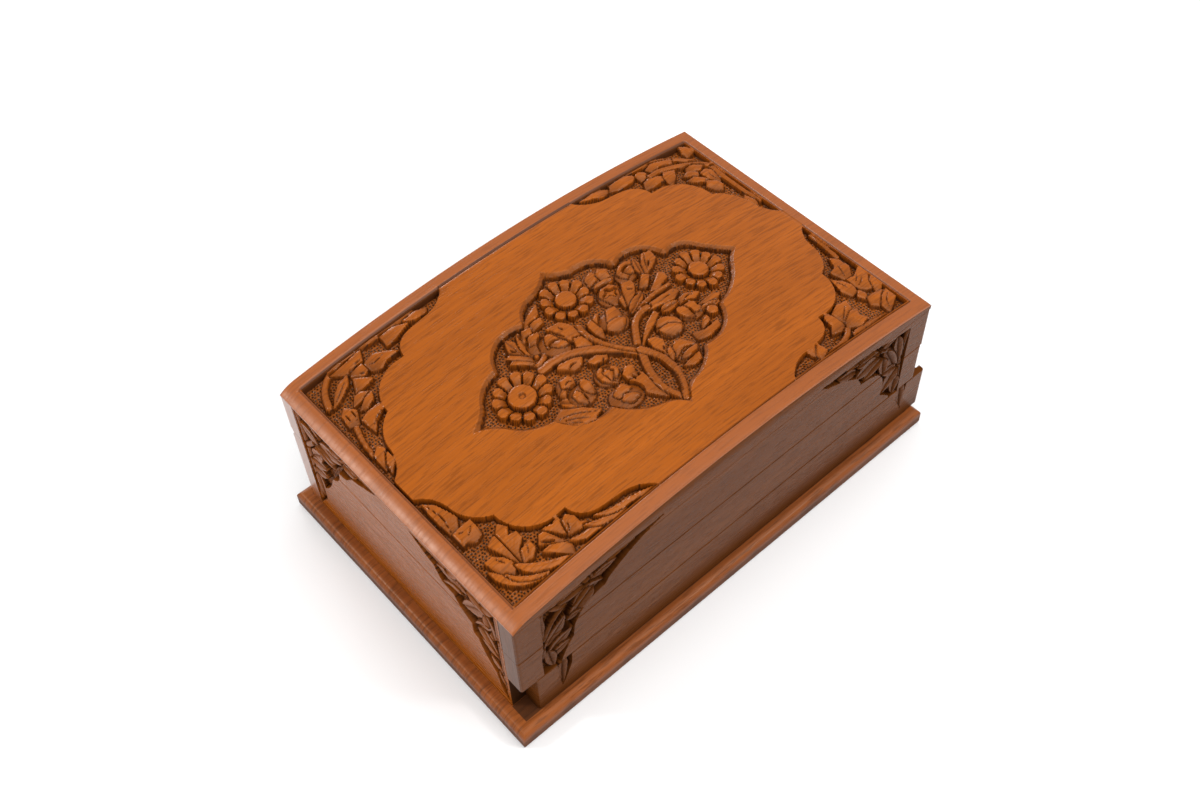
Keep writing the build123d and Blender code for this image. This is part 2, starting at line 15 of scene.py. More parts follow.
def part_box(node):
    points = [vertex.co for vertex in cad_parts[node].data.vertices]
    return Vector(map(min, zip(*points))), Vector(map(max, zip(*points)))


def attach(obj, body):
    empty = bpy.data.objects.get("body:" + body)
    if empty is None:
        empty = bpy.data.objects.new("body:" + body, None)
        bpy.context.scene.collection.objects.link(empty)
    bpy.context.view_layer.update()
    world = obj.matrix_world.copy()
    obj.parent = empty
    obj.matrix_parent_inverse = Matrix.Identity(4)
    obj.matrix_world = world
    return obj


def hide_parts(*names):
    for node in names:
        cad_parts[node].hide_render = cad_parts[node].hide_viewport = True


MM = 0.001
FAR = 1000.0

# Camera, as solved from the photograph's corners
view_azimuth = -39.706
view_elevation = 52.25
view_roll = -2.572
view_distance = 703.39
aim_right = 6.863
aim_up = -30.734
focal_length = 41.87

# Carving, in millimetres
coarse_cell = 3.2
top_cell = 4.15
refinements = 3
recess_depth = 3.2
medallion_depth = 3.4
medallion_bevel_width = 1.8
medallion_bevel_drop = 1.5
wall_run = 0.25
foot_run = 0.5
form_wall_slope = 7.0
punch_spacing = 1.6
punch_radius = 0.5
punch_depth = 0.6
punch_rows = 1.4
punch_jitter = 0.28
jitter_wave_u = (12.9, 78.2)
jitter_wave_v = (39.3, 11.1)
ground_margin = 0.12
recess_margin = 0.12
# Darkness painted into the carving, 0 to 1: stain of the cuts, and painted shade in crevices,
# hollows and at the foot of walls
ground_shade = 0.3
bevel_shade = 0.42
facet_shade = 0.05
stem_shade = 0.22
form_spread = 0.4
frame_groove_width = 1.2
back_groove_width = 2.6
left_groove_width = 4.4
frame_groove_depth = 0.9
# Widths of the painted shade along the frame grooves
groove_dark_width = 0.9
back_groove_dark_width = 1.9
pattern_centre = 1.7

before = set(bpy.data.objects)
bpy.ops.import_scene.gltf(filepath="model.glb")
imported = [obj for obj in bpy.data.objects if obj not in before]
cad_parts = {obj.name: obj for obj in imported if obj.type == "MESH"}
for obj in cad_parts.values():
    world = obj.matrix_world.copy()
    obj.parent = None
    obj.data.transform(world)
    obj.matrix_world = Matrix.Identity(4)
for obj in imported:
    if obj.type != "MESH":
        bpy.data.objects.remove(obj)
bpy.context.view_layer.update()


def span_mm(node):
    """Lowest and highest corner of a CAD piece, in millimetres."""
    low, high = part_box(node)
    return np.array(low) / MM, np.array(high) / MM


def arc_outline(corners, steps=8):
    """Closed outline through corners (x, y) or (x, y, bulge).

    The side after a corner bows to its left by bulge times its length.
    """
    corners = [(*corner, 0.0)[:3] for corner in corners]
    points = []
    for (x0, y0, bulge), (x1, y1, _) in zip(corners, corners[1:] + corners[:1]):
        start, chord = np.array([x0, y0]), np.array([x1 - x0, y1 - y0])
        left = np.array([-chord[1], chord[0]])
        half_angle = 2 * math.atan(2 * bulge)
        for step in range(steps if bulge else 1):
            share = step / steps
            along, out = share, 0.0
            if bulge:
                angle = (2 * share - 1) * half_angle
                along = 0.5 + math.sin(angle) / (2 * math.sin(half_angle))
                out = (math.cos(angle) - math.cos(half_angle)) / (2 * math.sin(half_angle))
            points.append(start + chord * along + left * out)
    return np.array(points)


def to_outline(outline, u, v):
    """Distance inside a closed outline (negative outside), and the nearest point on it."""
    best = np.full(len(u), FAR**2)
    near_u, near_v = np.zeros(len(u)), np.zeros(len(u))
    within = np.zeros(len(u), bool)
    for (x0, y0), (x1, y1) in zip(outline, np.roll(outline, -1, axis=0)):
        dx, dy = x1 - x0, y1 - y0
        share = np.clip(((u - x0) * dx + (v - y0) * dy) / max(dx * dx + dy * dy, 1e-9), 0, 1)
        foot_u, foot_v = x0 + share * dx, y0 + share * dy
        gap = (u - foot_u) ** 2 + (v - foot_v) ** 2
        closer = gap < best
        best = np.where(closer, gap, best)
        near_u, near_v = np.where(closer, foot_u, near_u), np.where(closer, foot_v, near_v)
        if y0 != y1:
            crosses = (y0 > v) != (y1 > v)
            within ^= crosses & (u < x0 + (v - y0) * dx / (y1 - y0))
    return np.where(within, 1, -1) * np.sqrt(best), near_u, near_v


def smooth_line(points, steps=8):
    """A smooth line through the points, as a chain of cubic curves."""
    p = np.array(points, float)
    p = np.vstack([2 * p[0] - p[1], p, 2 * p[-1] - p[-2]])
    line = []
    for a, b, c, d in zip(p, p[1:], p[2:], p[3:]):
        for t in np.arange(steps) / steps:
            line.append(0.5 * (2 * b + (c - a) * t + (2 * a - 5 * b + 4 * c - d) * t**2
                               + (3 * b - a - 3 * c + d) * t**3))
    line.append(p[-2])
    return np.array(line)


class Relief:
    """Heights of one carved face at many places, in millimetres, and how dark it is painted there,
    for stain and shade.
    """

    def __init__(self, u, v):
        self.u, self.v = u, v
        self.height = np.zeros(len(u))
        self.shade = np.zeros(len(u))
        self.ground = np.zeros(len(u))
        self.recess = np.full(len(u), -FAR)
        self.snap_u, self.snap_v = u.copy(), v.copy()
        self.snap_gap = np.full(len(u), FAR)
        self.snap_height = np.zeros(len(u))

    def note_edge(self, distance, near_u, near_v, height=0.0):
        """Keeps the nearest crisp edge, which the face's corners are later moved onto."""
        closer = np.abs(distance) < self.snap_gap
        self.snap_gap = np.where(closer, np.abs(distance), self.snap_gap)
        self.snap_u = np.where(closer, near_u, self.snap_u)
        self.snap_v = np.where(closer, near_v, self.snap_v)
        self.snap_height = np.where(closer, height, self.snap_height)

    def sink(self, inside, depth, bevel_width=0.0, bevel_drop=0.0):
        """Cuts a recess with a steep wall, and a bevel above the wall if it has one."""
        self.recess = np.maximum(self.recess, inside)
        wall = -bevel_drop - (inside - bevel_width) * (depth - bevel_drop) / wall_run
        bevel = -inside * bevel_drop / max(bevel_width, 1e-6)
        cut = np.maximum(np.where(inside < bevel_width, bevel, wall), -depth)
        deepest = (inside > 0) & (cut < self.height)
        # Painted shade at the foot of the wall, fading over a few foot_run; the bevel and the
        # ground are painted darker for stain and shade
        past_wall = np.clip((inside - bevel_width) / foot_run, 0, 4)
        foot = ground_shade + (1 - ground_shade) * np.clip(1.9 - past_wall * 0.7, 0, 1)
        shade = np.where(past_wall > 0, foot, bevel_shade * np.clip(inside / 0.25, 0, 1))
        self.height = np.where(deepest, cut, self.height)
        self.shade = np.where(deepest, shade, self.shade)

    def hollow(self, corners, depth, keep=True, shift=0.0):
        """Sinks a recess with a crisp edge inside an outline, where keep holds."""
        shape = to_outline(arc_outline(corners) + [shift, 0], self.u, self.v)
        self.note_edge(*shape)
        self.sink(np.where(keep, shape[0], -FAR), depth)

    def groove(self, distance, width, depth, dark_width=groove_dark_width):
        """Cuts a groove, rounded over at its sides, along a line at the given distance."""
        share = np.clip(1 - 2 * distance / width, 0, 1) ** 1.5
        self.height = np.minimum(self.height, -depth * share)
        # Painted shade along the middle of the groove
        self.shade = np.maximum(self.shade, 0.8 * np.clip((dark_width / 2 - distance) / 0.35, 0, 1))
        self.recess = np.maximum(self.recess, width / 2 - distance)

    def punch(self, depth):
        """Punches rows of small round marks into the ground."""
        row = np.round(self.v / punch_rows)
        shift = 0.5 * (row % 2)
        column = np.round(self.u / punch_spacing - shift)
        jitter_u = punch_jitter * np.sin(column * jitter_wave_u[0] + row * jitter_wave_u[1])
        jitter_v = punch_jitter * np.sin(column * jitter_wave_v[0] + row * jitter_wave_v[1])
        off_u = self.u - (column + shift) * punch_spacing - jitter_u
        off_v = self.v - row * punch_rows - jitter_v
        mark = np.clip(1.25 - (off_u**2 + off_v**2) / punch_radius**2, 0, 1)
        ground = self.height < -depth + 0.05
        self.height = np.where(ground, self.height - punch_depth * mark, self.height)
        # Marks the punched ground, whose marks are painted dark for the stain and shade in their
        # pits
        self.ground = np.where(ground, np.clip(2 - self.shade * 3, 0, 1), 0.0)

    def near(self, points, reach):
        """Indexes of the places within reach of the points' box."""
        low, high = np.min(points, axis=0) - reach, np.max(points, axis=0) + reach
        inside_box = (self.u > low[0]) & (self.u < high[0]) & (self.v > low[1]) & (self.v < high[1])
        return np.nonzero(inside_box & (self.recess > recess_margin))[0]

    def lay(self, places, inside, top, gap=0.6, cut=1.8, shade=facet_shade):
        """Lays a carved form over what is there, and cuts a groove round it, painted dark as shade.
        """
        inside = inside + form_spread
        before, before_shade = self.height[places], self.shade[places]
        beside = np.clip(1 + inside / gap, 0, 1)
        low = np.minimum(before, top - cut * beside)
        wall = top + inside * form_wall_slope
        outside = np.maximum(np.where(inside > -gap, low, before), wall)
        self.height[places] = np.where(inside > 0, top, outside)
        beside_dark = np.clip(1.6 + inside / gap, 0, 1)
        dark = np.where(inside > -gap * 1.8, np.maximum(before_shade, beside_dark), before_shade)
        self.shade[places] = np.where(inside > 0, shade, dark)

    def plate(self, corners, level=-0.1, dip=1.3, hollow=0.0, gap=0.6):
        """A flat facet inside an outline of corners, dipping towards its first corner."""
        outline = arc_outline(corners, steps=4)
        places = self.near(outline, 1.6)
        u, v = self.u[places], self.v[places]
        inside, near_u, near_v = to_outline(outline, u, v)
        centre, first = outline.mean(axis=0), np.array(corners[0][:2])
        toward = (first - centre) / max(np.hypot(*(first - centre)), 1e-6)
        reach = np.abs((outline - centre) @ toward).max()
        down = ((u - centre[0]) * toward[0] + (v - centre[1]) * toward[1]) / reach
        top = level - dip * np.clip(down + 0.1, 0, 1.1) - hollow * np.clip(inside / 1.6, 0, 1)
        top = top - 0.3 * np.clip(1 - inside / 0.8, 0, 1) ** 2
        # Painted darker the lower the facet dips
        shade = facet_shade + 0.4 * np.clip(down * dip + 0.1, 0, 1.1)
        self.lay(places, inside, np.minimum(top, -0.05), gap=gap, shade=shade)

    def mound(self, centre_u, centre_v, length, width, turn=0.0, top=-0.75, foot=-2.3):
        """A low oval dome, on which a bud's flat facet is cut."""
        places = self.near([(centre_u, centre_v)], max(length, width) / 2 + 1)
        du, dv = self.u[places] - centre_u, self.v[places] - centre_v
        c, s = math.cos(math.radians(turn)), math.sin(math.radians(turn))
        reach = np.hypot((du * c + dv * s) / (length / 2), (dv * c - du * s) / (width / 2))
        inside = (1 - reach) * min(length, width) / 2
        # The mound is painted darker than the facets cut on it
        self.lay(places, inside, top + (foot - top) * np.clip(reach, 0, 1) ** 2, cut=0.8, shade=0.5)

    def leaf(self, base, tip, width, bend=0.0, level=-0.15, hollow=0.6, tilt=0.4, vein=0.6):
        """A pointed leaf: two facets that fall to its midrib."""
        base, tip = np.array(base, float), np.array(tip, float)
        length = np.hypot(*(tip - base))
        axis = (tip - base) / length
        places = self.near((base, tip), width * 0.7 + abs(bend) * length)
        du, dv = self.u[places] - base[0], self.v[places] - base[1]
        along = du * axis[0] + dv * axis[1]
        share = np.clip(along / length, 0, 1)
        across = dv * axis[0] - du * axis[1] - bend * length * 4 * share * (1 - share)
        half = np.maximum(width / 2 * np.sin(np.pi * share**0.82) ** 0.8, 0.02)
        inside = (half - np.abs(across)) * 0.85
        inside = np.where(along < 0, -np.hypot(along, across), inside)
        inside = np.where(along > length, -np.hypot(along - length, across), inside)
        rise = np.clip(np.abs(across) / half, 0, 1)
        valley = hollow * (1 - rise) * (half / (width / 2))
        top = level - valley + tilt * np.clip(across / half, -1, 1)
        top = top - vein * np.exp(-((across / 0.3) ** 2)) - 0.5 * (1 - share) ** 2
        # Painted darker towards the hollow midrib, and the midrib itself painted dark as shade in
        # its groove
        self.lay(places, inside, np.minimum(top, -0.05), shade=facet_shade + 0.35 * (1 - rise))
        midrib = (inside > 0) & (np.abs(across) < 0.3)
        self.shade[places] = np.where(midrib, 0.7, self.shade[places])

    def to_line(self, points, reach):
        """Places near a smooth line, their distance from it and their share of its length."""
        line = smooth_line(points)
        places = self.near(line, reach)
        u, v = self.u[places], self.v[places]
        best, share = np.full(len(u), FAR), np.zeros(len(u))
        for index, ((x0, y0), (x1, y1)) in enumerate(zip(line, line[1:])):
            dx, dy = x1 - x0, y1 - y0
            t = np.clip(((u - x0) * dx + (v - y0) * dy) / (dx * dx + dy * dy), 0, 1)
            gap = np.hypot(u - x0 - t * dx, v - y0 - t * dy)
            share = np.where(gap < best, (index + t) / (len(line) - 1), share)
            best = np.minimum(best, gap)
        return places, best, share

    def stem(self, points, width, end_width=None, level=-0.2, round_over=0.6):
        """A stem along a smooth line, gently rounded across, tapering to end_width."""
        places, gap, share = self.to_line(points, width)
        end_width = width if end_width is None else end_width
        half = (width + (end_width - width) * share) / 2
        top = level - round_over * (gap / half) ** 2
        top = np.where(gap > half, level - round_over, top)
        self.lay(places, half - gap, top, shade=stem_shade)

    def blade(self, points, width, level=-0.1, fall=0.5):
        """A crescent leaf along a smooth line, pointed at both ends and falling to its edges."""
        places, gap, share = self.to_line(points, width)
        half = np.maximum(width / 2 * np.sin(np.pi * np.clip(share, 0.01, 0.99)) ** 0.7, 0.05)
        inside = np.where((share < 0.005) | (share > 0.995), -gap, half - gap)
        top = level - fall * (1 - np.clip(inside / half, 0, 1))
        self.lay(places, inside, top, shade=facet_shade)

    def cut(self, points, width=0.8, depth=0.9):
        """A V-shaped gouge cut along a smooth line, narrowing towards both ends."""
        places, gap, share = self.to_line(points, width)
        half = np.maximum(width / 2 * np.sin(np.pi * np.clip(share, 0.02, 0.98)) ** 0.6, 0.05)
        bite = np.clip(1 - gap / half, 0, 1)
        self.height[places] = np.minimum(self.height[places], np.maximum(
            self.height[places] - depth * bite, -medallion_depth - 0.3))
        # The gouge is painted dark, as shade
        self.shade[places] = np.maximum(self.shade[places], np.clip(bite * 1.7, 0, 1))

    def petal(self, centre, angle, inner, outer, width):
        """A petal, flat at its rounded outer end, its inner facet falling to the middle."""
        centre = np.array(centre, float)
        axis = np.array([math.cos(angle), math.sin(angle)])
        places = self.near((centre, centre + axis * outer), width * 0.7)
        du, dv = self.u[places] - centre[0], self.v[places] - centre[1]
        along, across = du * axis[0] + dv * axis[1], dv * axis[0] - du * axis[1]
        end = outer - width * 0.4
        half = np.clip(0.26 + 0.24 * (along - inner) / (end - inner), 0.2, 0.5) * width
        past_end = width / 2 - np.hypot((along - end) * 1.2, across)
        inside = np.where(along < end, half - np.abs(across), past_end)
        inside = np.minimum(inside, along - inner)
        knee = inner + 0.48 * (outer - inner)
        share = np.clip((knee - along) / (knee - inner), 0, 1)
        top = -0.12 - 1.9 * share - 0.18 * np.clip(1 - inside / 0.7, 0, 1) ** 2
        self.lay(places, inside, top, gap=0.5, cut=2.0)
        # The inner facet is painted darker towards the middle, as shade
        self.shade[places] = np.where(inside > 0, 0.06 + 0.5 * share, self.shade[places])

    def disc(self, centre, radius, level=-0.1, hole=0.0):
        """A flat round boss with a softened edge, and a small hollow in its middle."""
        places = self.near((centre, centre), radius + 1)
        reach = np.hypot(self.u[places] - centre[0], self.v[places] - centre[1])
        top = level - 0.4 * np.clip((reach - radius + 0.9) / 0.9, 0, 1) ** 2
        if hole:
            top = top - 1.1 * np.clip((hole + 0.3 - reach) / 0.5, 0, 1)
        self.lay(places, radius - reach, top)
        if hole:
            # A ring of painted shade round the hole
            ring = (reach < hole + 0.2) & (reach > hole - 0.5)
            self.shade[places] = np.where(ring, 0.7, self.shade[places])

    def flower(self, centre, petals, turn, button, outer, hole=0.0):
        """A round flower: a deep ring, its petals, and its button."""
        places = self.near((centre, centre), outer)
        reach = np.hypot(self.u[places] - centre[0], self.v[places] - centre[1])
        ring = reach < outer - 1.2
        self.height[places] = np.where(ring, -medallion_depth, self.height[places])
        # The deep ring is painted fully dark, as shade
        self.shade[places] = np.where(ring, 1.0, self.shade[places])
        width = 2 * math.pi * (outer - 2.2) / petals - 1.7
        for index in range(petals):
            angle = turn + 2 * math.pi * index / petals
            reach = outer - 0.5 * (index * 5 % 3)
            self.petal(centre, angle, button + 1.7, reach, width)
        self.disc(centre, button, hole=hole)

    def finish(self, depth):
        """Slight unevenness of the cut surfaces, and the punched marks in the ground."""
        u, v = self.u, self.v
        wave = np.sin(u * 2.1 + 1.7 * np.sin(v * 0.9)) * np.sin(v * 1.9 + 1.3 * np.sin(u * 1.1))
        self.height = np.where(self.height < -0.1, self.height + 0.08 * wave, self.height)
        self.punch(depth - ground_margin)


# Outline of the lid's plain field: one quarter, then mirrored into all four corners
field_quarter = [
    (40.2, 76), (40.2, 74.5, -0.12), (56.7, 66, 0.02), (67.5, 64.8, 0.17), (75.7, 55),
    (82, 55.2, 0.2), (98.7, 36.7, 0.14), (109.7, 20, -0.11), (118, 6.5), (121, 6.5),
]


def field_outline():
    """The whole field, as a clockwise outline about the pattern's centre."""
    right_top = arc_outline(field_quarter)[:-1]
    points = [
        right_top,
        (right_top * [1, -1])[::-1],
        right_top * [-1, -1],
        (right_top * [-1, 1])[::-1],
    ]
    return np.vstack(points) + [pattern_centre, 0]


medallion_outline = [
    (-79, 0.5, -0.06), (-68, 8.5, 0.12), (-51, 20, 0.24), (-25, 31.5, 0.15), (-12, 42, -0.09),
    (1.5, 50, -0.09), (12, 42, 0.17), (31, 32.5, 0.24), (54.5, 22.3, 0.19), (70, 16, -0.03),
    (82.5, 2, -0.04), (74, -5, 0.09), (51.5, -20.5, 0.18), (28, -34.5, 0.1), (10, -45, -0.09),
    (0.5, -53.5, -0.09), (-8, -46, 0.11), (-26.5, -32, 0.2), (-49.5, -20, 0.12), (-67, -8, -0.08),
]

frame_left, frame_right = -117.6, 119.4
frame_front, frame_back = -74.4, 75.4
frame_margins = (0.3, 1.2, 1.0, 1.0)


def medallion(relief):
    """The three flowers of the lid's middle, on their branching stem."""
    for forms in (medallion_left, medallion_top, medallion_right, medallion_foot, medallion_stems):
        forms(relief)
    relief.flower((-50.5, 0.5), 12, 0.1, 6.0, 13.9, hole=1.5)
    relief.flower((-0.5, 29.3), 11, 0.35, 4.6, 12.5)
    relief.flower((58.5, 3.0), 12, -0.1, 4.4, 12.6)


def medallion_left(relief):
    """Leaves and buds round the left flower."""
    plate, cut, leaf, mound, stem = relief.plate, relief.cut, relief.leaf, relief.mound, relief.stem
    plate([(-49, -19), (-43, -16.5), (-36, -22), (-30.5, -28.5), (-36, -30.5),
           (-42, -29.5)], -0.5, 0.9)
    cut([(-48, -19.5), (-41, -22), (-32, -28.5)])
    cut([(-46, -22), (-41, -25), (-36, -29.5)])
    cut([(-45, -24.5), (-42, -27), (-40, -29.5)])
    leaf((-41, -14), (-31, -22.5), 3.6, tilt=0.7)
    mound(-33, -8.5, 10.5, 8.5, 40)
    plate([(-37.5, -13.2), (-38.5, -11.2), (-36, -9.6), (-34.6, -12)])
    plate([(-30, -11), (-35.2, -8.5), (-33.5, -5.2), (-29.6, -5.2), (-28.2, -7.5)], -0.3, 0.7)
    cut([(-33.5, -8.6), (-31.5, -7.6), (-29.8, -8.2)], 1.1)
    mound(-30.5, -16.5, 12, 10.5, -10)
    plate([(-31.5, -21.5), (-34.6, -18.5), (-34.6, -15), (-32, -13.6), (-30.8, -17)], -0.3)
    plate([(-26.5, -19.5, 0.1), (-28.8, -14.6, 0.1), (-26.3, -10.6, 0.1), (-24.5, -14.5, 0.1)])
    leaf((-33, 9.5), (-36.5, 29), 8.5, bend=0.05, hollow=0.5)
    cut([(-38.6, 23.6), (-37.8, 22), (-37, 20.6)], 1.7, 1.6)
    leaf((-32.5, 15), (-30.5, 28.5), 4.2, tilt=-0.8)
    plate([(-34.5, 9.5), (-43.5, 17.2), (-41, 18), (-33.5, 11)], -0.2)
    plate([(-34, 12.5), (-42.5, 20.6), (-40.5, 21.6), (-33.4, 14.2)], -0.4)
    mound(-26.5, 18.5, 11, 8, 25)
    plate([(-29.6, 20, 0.1), (-28, 23.2, 0.1), (-23, 22.6, 0.1), (-25.6, 19.4, 0.1)])
    stem([(-34, 9), (-29, 11), (-26, 15)], 2.0, 1.4, level=-0.9)
    plate([(-25.5, 28.6, 0.08), (-20, 33.2, 0.05), (-13.2, 35.6), (-16, 31, 0.05)], -0.2)
    plate([(-23, 26), (-22, 29), (-16.5, 28.8), (-17.2, 25.8)], -0.5)
    plate([(-30, 25.5), (-27.5, 28.4), (-23.6, 27.6), (-25, 24.8)], -0.4)
    mound(-21.5, 12.5, 14, 11, -60)
    plate([(-24.5, 13, 0.08), (-22, 18.6, 0.1), (-17.5, 17.6, 0.1), (-19.5, 13.6)], -0.4, 0.9)
    plate([(-23, 13.8, 0.12), (-19.5, 13.2, 0.12), (-16.8, 8.8, 0.1), (-19.8, 9.2, 0.1)])


def medallion_top(relief):
    """Leaves and buds beside the middle flower."""
    plate, cut, leaf, mound = relief.plate, relief.cut, relief.leaf, relief.mound
    plate([(-11, 4, 0.05), (-15.6, 12, 0.05), (-18.8, 21.4), (-12.4, 20.8, 0.1),
           (-9, 14, 0.05)], -0.3, 1.1)
    cut([(-18.4, 19.5), (-17, 16), (-15.6, 12.5)], 1.3, 1.6)
    cut([(-14.2, 18.4), (-13.8, 17), (-13.6, 16)], 1.3, 1.2)
    plate([(-12, -1), (-15, 5), (-13, 9), (-9.5, 8), (-8.8, 2)], -0.9, 1.0)
    plate([(-2.6, 0, 0.05), (-4.2, 6, 0.05), (-3.4, 11), (0.5, 12.4), (3.8, 13.4),
           (1.8, 8.8)], -0.3, 0.9)
    plate([(0.4, 6.5), (0.4, 11.5), (3.6, 13.2), (4.4, 10)], -0.4, 0.8)
    cut([(0.5, 6.2), (2.6, 7.8), (5, 10)], 1.0, 1.6)
    mound(7.5, 5, 13, 13, 30)
    plate([(12.5, 5.5), (4.5, 6), (8.5, 11.6), (12.8, 11.2)], -0.5, 0.9)
    plate([(6, -1.2, 0.1), (1.4, 2.6, 0.08), (4.2, 4.8, 0.04), (9.4, 4.6, 0.08), (11.6, 2.2, 0.1)])
    mound(18.5, 31, 14, 9.5, 10)
    plate([(13, 28), (14, 32.5), (18.5, 34.4), (20, 31.5), (17.5, 29)], -0.4, 0.8)
    plate([(20, 27), (19.6, 30.6), (22.4, 33.4), (25.4, 31), (24, 26.6)], -0.2)
    leaf((13, 24.6), (24, 24.2), 3.4)
    mound(16.5, 17.5, 12, 12)
    plate([(14.4, 11.8), (11.8, 19.8, 0.05), (15.4, 22.6), (20, 22.2, 0.05), (21.6, 19.2),
           (18.6, 13)])
    plate([(16.4, 20.4, 0.2), (13.6, 18.2, 0.2), (18, 16, 0.2), (20, 18.6, 0.2)], -0.8, 0.2)
    plate([(16.6, 7.5), (17.6, 12.5), (21.4, 14), (20, 9.5)], -0.3, 0.9)
    plate([(18.2, 7), (21.8, 14.6), (24.8, 19.4), (29.6, 20.4), (29, 15.6), (25.4, 11)], -0.15, 0.7)
    cut([(24, 15.2), (25, 14.2), (26.2, 13.2)], 1.5, 1.3)
    leaf((16, 3), (28.2, 8.8), 3.8, tilt=0.6)
    mound(32, 23.5, 13, 9, 15)
    plate([(29.6, 20.6, 0.1), (27.4, 25, 0.05), (32.2, 28.6, 0.05), (38.4, 27.6),
           (35.4, 23.6)], -0.3, 0.8)
    plate([(31, 24.6, 0.1), (34.4, 25.6, 0.1), (37, 21.6, 0.1), (33, 21.6, 0.1)], -0.15)


def medallion_right(relief):
    """Leaves and buds round the right flower."""
    plate, cut, leaf, mound, disc = relief.plate, relief.cut, relief.leaf, relief.mound, relief.disc
    leaf((36, 16.5), (39.6, 27.5), 3.4, tilt=0.8)
    plate([(38, 16.4), (40.4, 22.4), (44.6, 27.2), (49.2, 26.2), (48.2, 21.4),
           (43.4, 18.4)], -0.15, 0.6)
    cut([(41.6, 19.2), (43.4, 21), (44.6, 22)], 1.5, 1.4)
    cut([(40, 17.6), (42.6, 22.6), (45.6, 26.4)])
    plate([(30, 12.6), (36, 17.4), (38.4, 15.2), (33, 10.6)], -0.6)
    plate([(29.6, 5.2, 0.03), (36, 9.2), (42.4, 13.4), (44.2, 11.8), (43.4, 8.4),
           (36, 6.4)], -0.2, 0.9)
    plate([(36.6, -3.6), (23, -1.4), (24, 1.2), (34, 1.6), (40.4, 1.2), (42, -0.8)], -0.25, 0.7)
    cut([(25, -0.6), (32, -0.8), (40, 0)])
    plate([(36, -8.4), (38.4, -5, 0.05), (42.4, -4.8), (48, -8, 0.05), (43.4, -9.8, 0.05)], -0.15)
    cut([(38, -7.6), (42, -6.6), (45.6, -7.6)])
    leaf((27, -5.6), (36.4, -6), 3.4)
    mound(37.5, -13.5, 12, 9.5, -10)
    plate([(42.4, -16.4), (36.6, -15), (36, -10.2), (40.6, -9.6), (42.8, -12)], -0.35, 0.6)
    plate([(36.4, -17.2, 0.12), (31.8, -12.6, 0.1), (32.8, -9.4), (35.6, -9.8, 0.12)])
    plate([(43, -12.8), (47.6, -15.8), (50.4, -17.2), (54.8, -14.8), (52, -12.8)], -0.2)
    leaf((42, -16.6), (51, -18.2), 2.4)
    mound(24, -14, 12.5, 12)
    plate([(19, -11, 0.1), (22, -8.2, 0.1), (28, -11.4, 0.12), (28.8, -16.4),
           (24.6, -12.4)], -0.4, 0.7)
    plate([(22, -19.2, 0.1), (18.2, -13.6, 0.05), (23.4, -13.4, 0.08), (27.8, -17.6, 0.12),
           (25.4, -19.8)])
    disc((45, -20), 2.3)
    plate([(34.2, -25), (35.4, -23), (40.2, -21.2), (39.4, -24)], -0.15)
    plate([(29, -24), (28, -28.6), (34, -30.4), (41.6, -28.6), (42.6, -25.6),
           (35, -26.6)], -1.0, 0.9)


def medallion_foot(relief):
    """Leaves and buds on either side of the main stem."""
    plate, cut, mound = relief.plate, relief.cut, relief.mound
    mound(19.5, -29, 12.5, 11.5)
    plate([(13.6, -29.6, 0.1), (17.4, -23.6, 0.1), (21.6, -24), (24.6, -29.8),
           (19.4, -27.4)], -0.3, 0.9)
    plate([(15, -31.8, 0.06), (19, -30.2), (24.6, -30.6, 0.08), (20.8, -33.8, 0.06)], -0.15)
    plate([(13, -35.2), (16, -34.6), (23, -34), (21.6, -37), (17, -38)], -1.2, 0.6)
    plate([(10.4, -29.6), (9.4, -20), (10.4, -14), (14, -15.4), (15.2, -18.6),
           (12.8, -24)], -0.15, 0.7)
    cut([(11.6, -23.4), (12.6, -22.4), (13.4, -21.2)], 1.5, 1.4)
    plate([(11, -30), (12.6, -25), (15, -23.4), (13.6, -28)], -0.5, 0.8)
    plate([(-4, -43), (-11.4, -33), (-11, -26), (-6.4, -22.6), (-4, -26), (-2.8, -35)], -0.6, 1.0)
    plate([(-6, -25.4), (-10.8, -24.4), (-11, -21.4), (-7.6, -18.8), (-4.8, -20.2)], -0.15)
    cut([(-8.6, -26.8), (-8, -25.4), (-7.8, -24)], 1.8, 1.5)
    cut([(-13.6, -25), (-12.2, -28), (-10, -31.4)], 1.8, 1.6)
    mound(-17.5, -30.5, 15, 12, -20)
    plate([(-20.6, -29.6, 0.08), (-21.4, -27, 0.06), (-15.4, -24.8), (-13.2, -28.6)], -0.3, 0.6)
    plate([(-17, -34.8, 0.08), (-20.6, -31.8), (-18, -30, 0.06), (-12.4, -33.8)], -0.15)
    mound(-15.5, -16, 12, 11, 20)
    plate([(-14.8, -22.6, 0.08), (-19.8, -17.6, 0.1), (-19, -13), (-15.4, -11.4),
           (-17.6, -15, -0.1)], -0.2)
    plate([(-13.4, -19.8, 0.1), (-14.4, -17), (-12, -14.4, 0.1), (-10.4, -16.8, 0.08)], -0.15)
    plate([(-16, -19.6), (-16.6, -15), (-14.6, -13.6), (-13.4, -16.6)], -0.6, 0.6)
    cut([(-18.6, -9), (-15, -11), (-11.4, -13.6)], 2.0, 1.8)
    plate([(-10, -9.8), (-16.4, -8.2), (-17.6, -5.6), (-13, -5), (-8.6, -8)], -0.25, 0.6)
    cut([(-12.6, -9.8), (-11.4, -8.8), (-10.6, -8)], 1.3)
    plate([(-24.4, -4.6), (-29.8, 0.8), (-28, 2), (-21, 0.6), (-17.8, -1.4), (-20, -4)], -0.2, 0.9)
    cut([(-26, -2.6), (-23.6, -1.6), (-21.6, -2)], 1.4, 1.2)


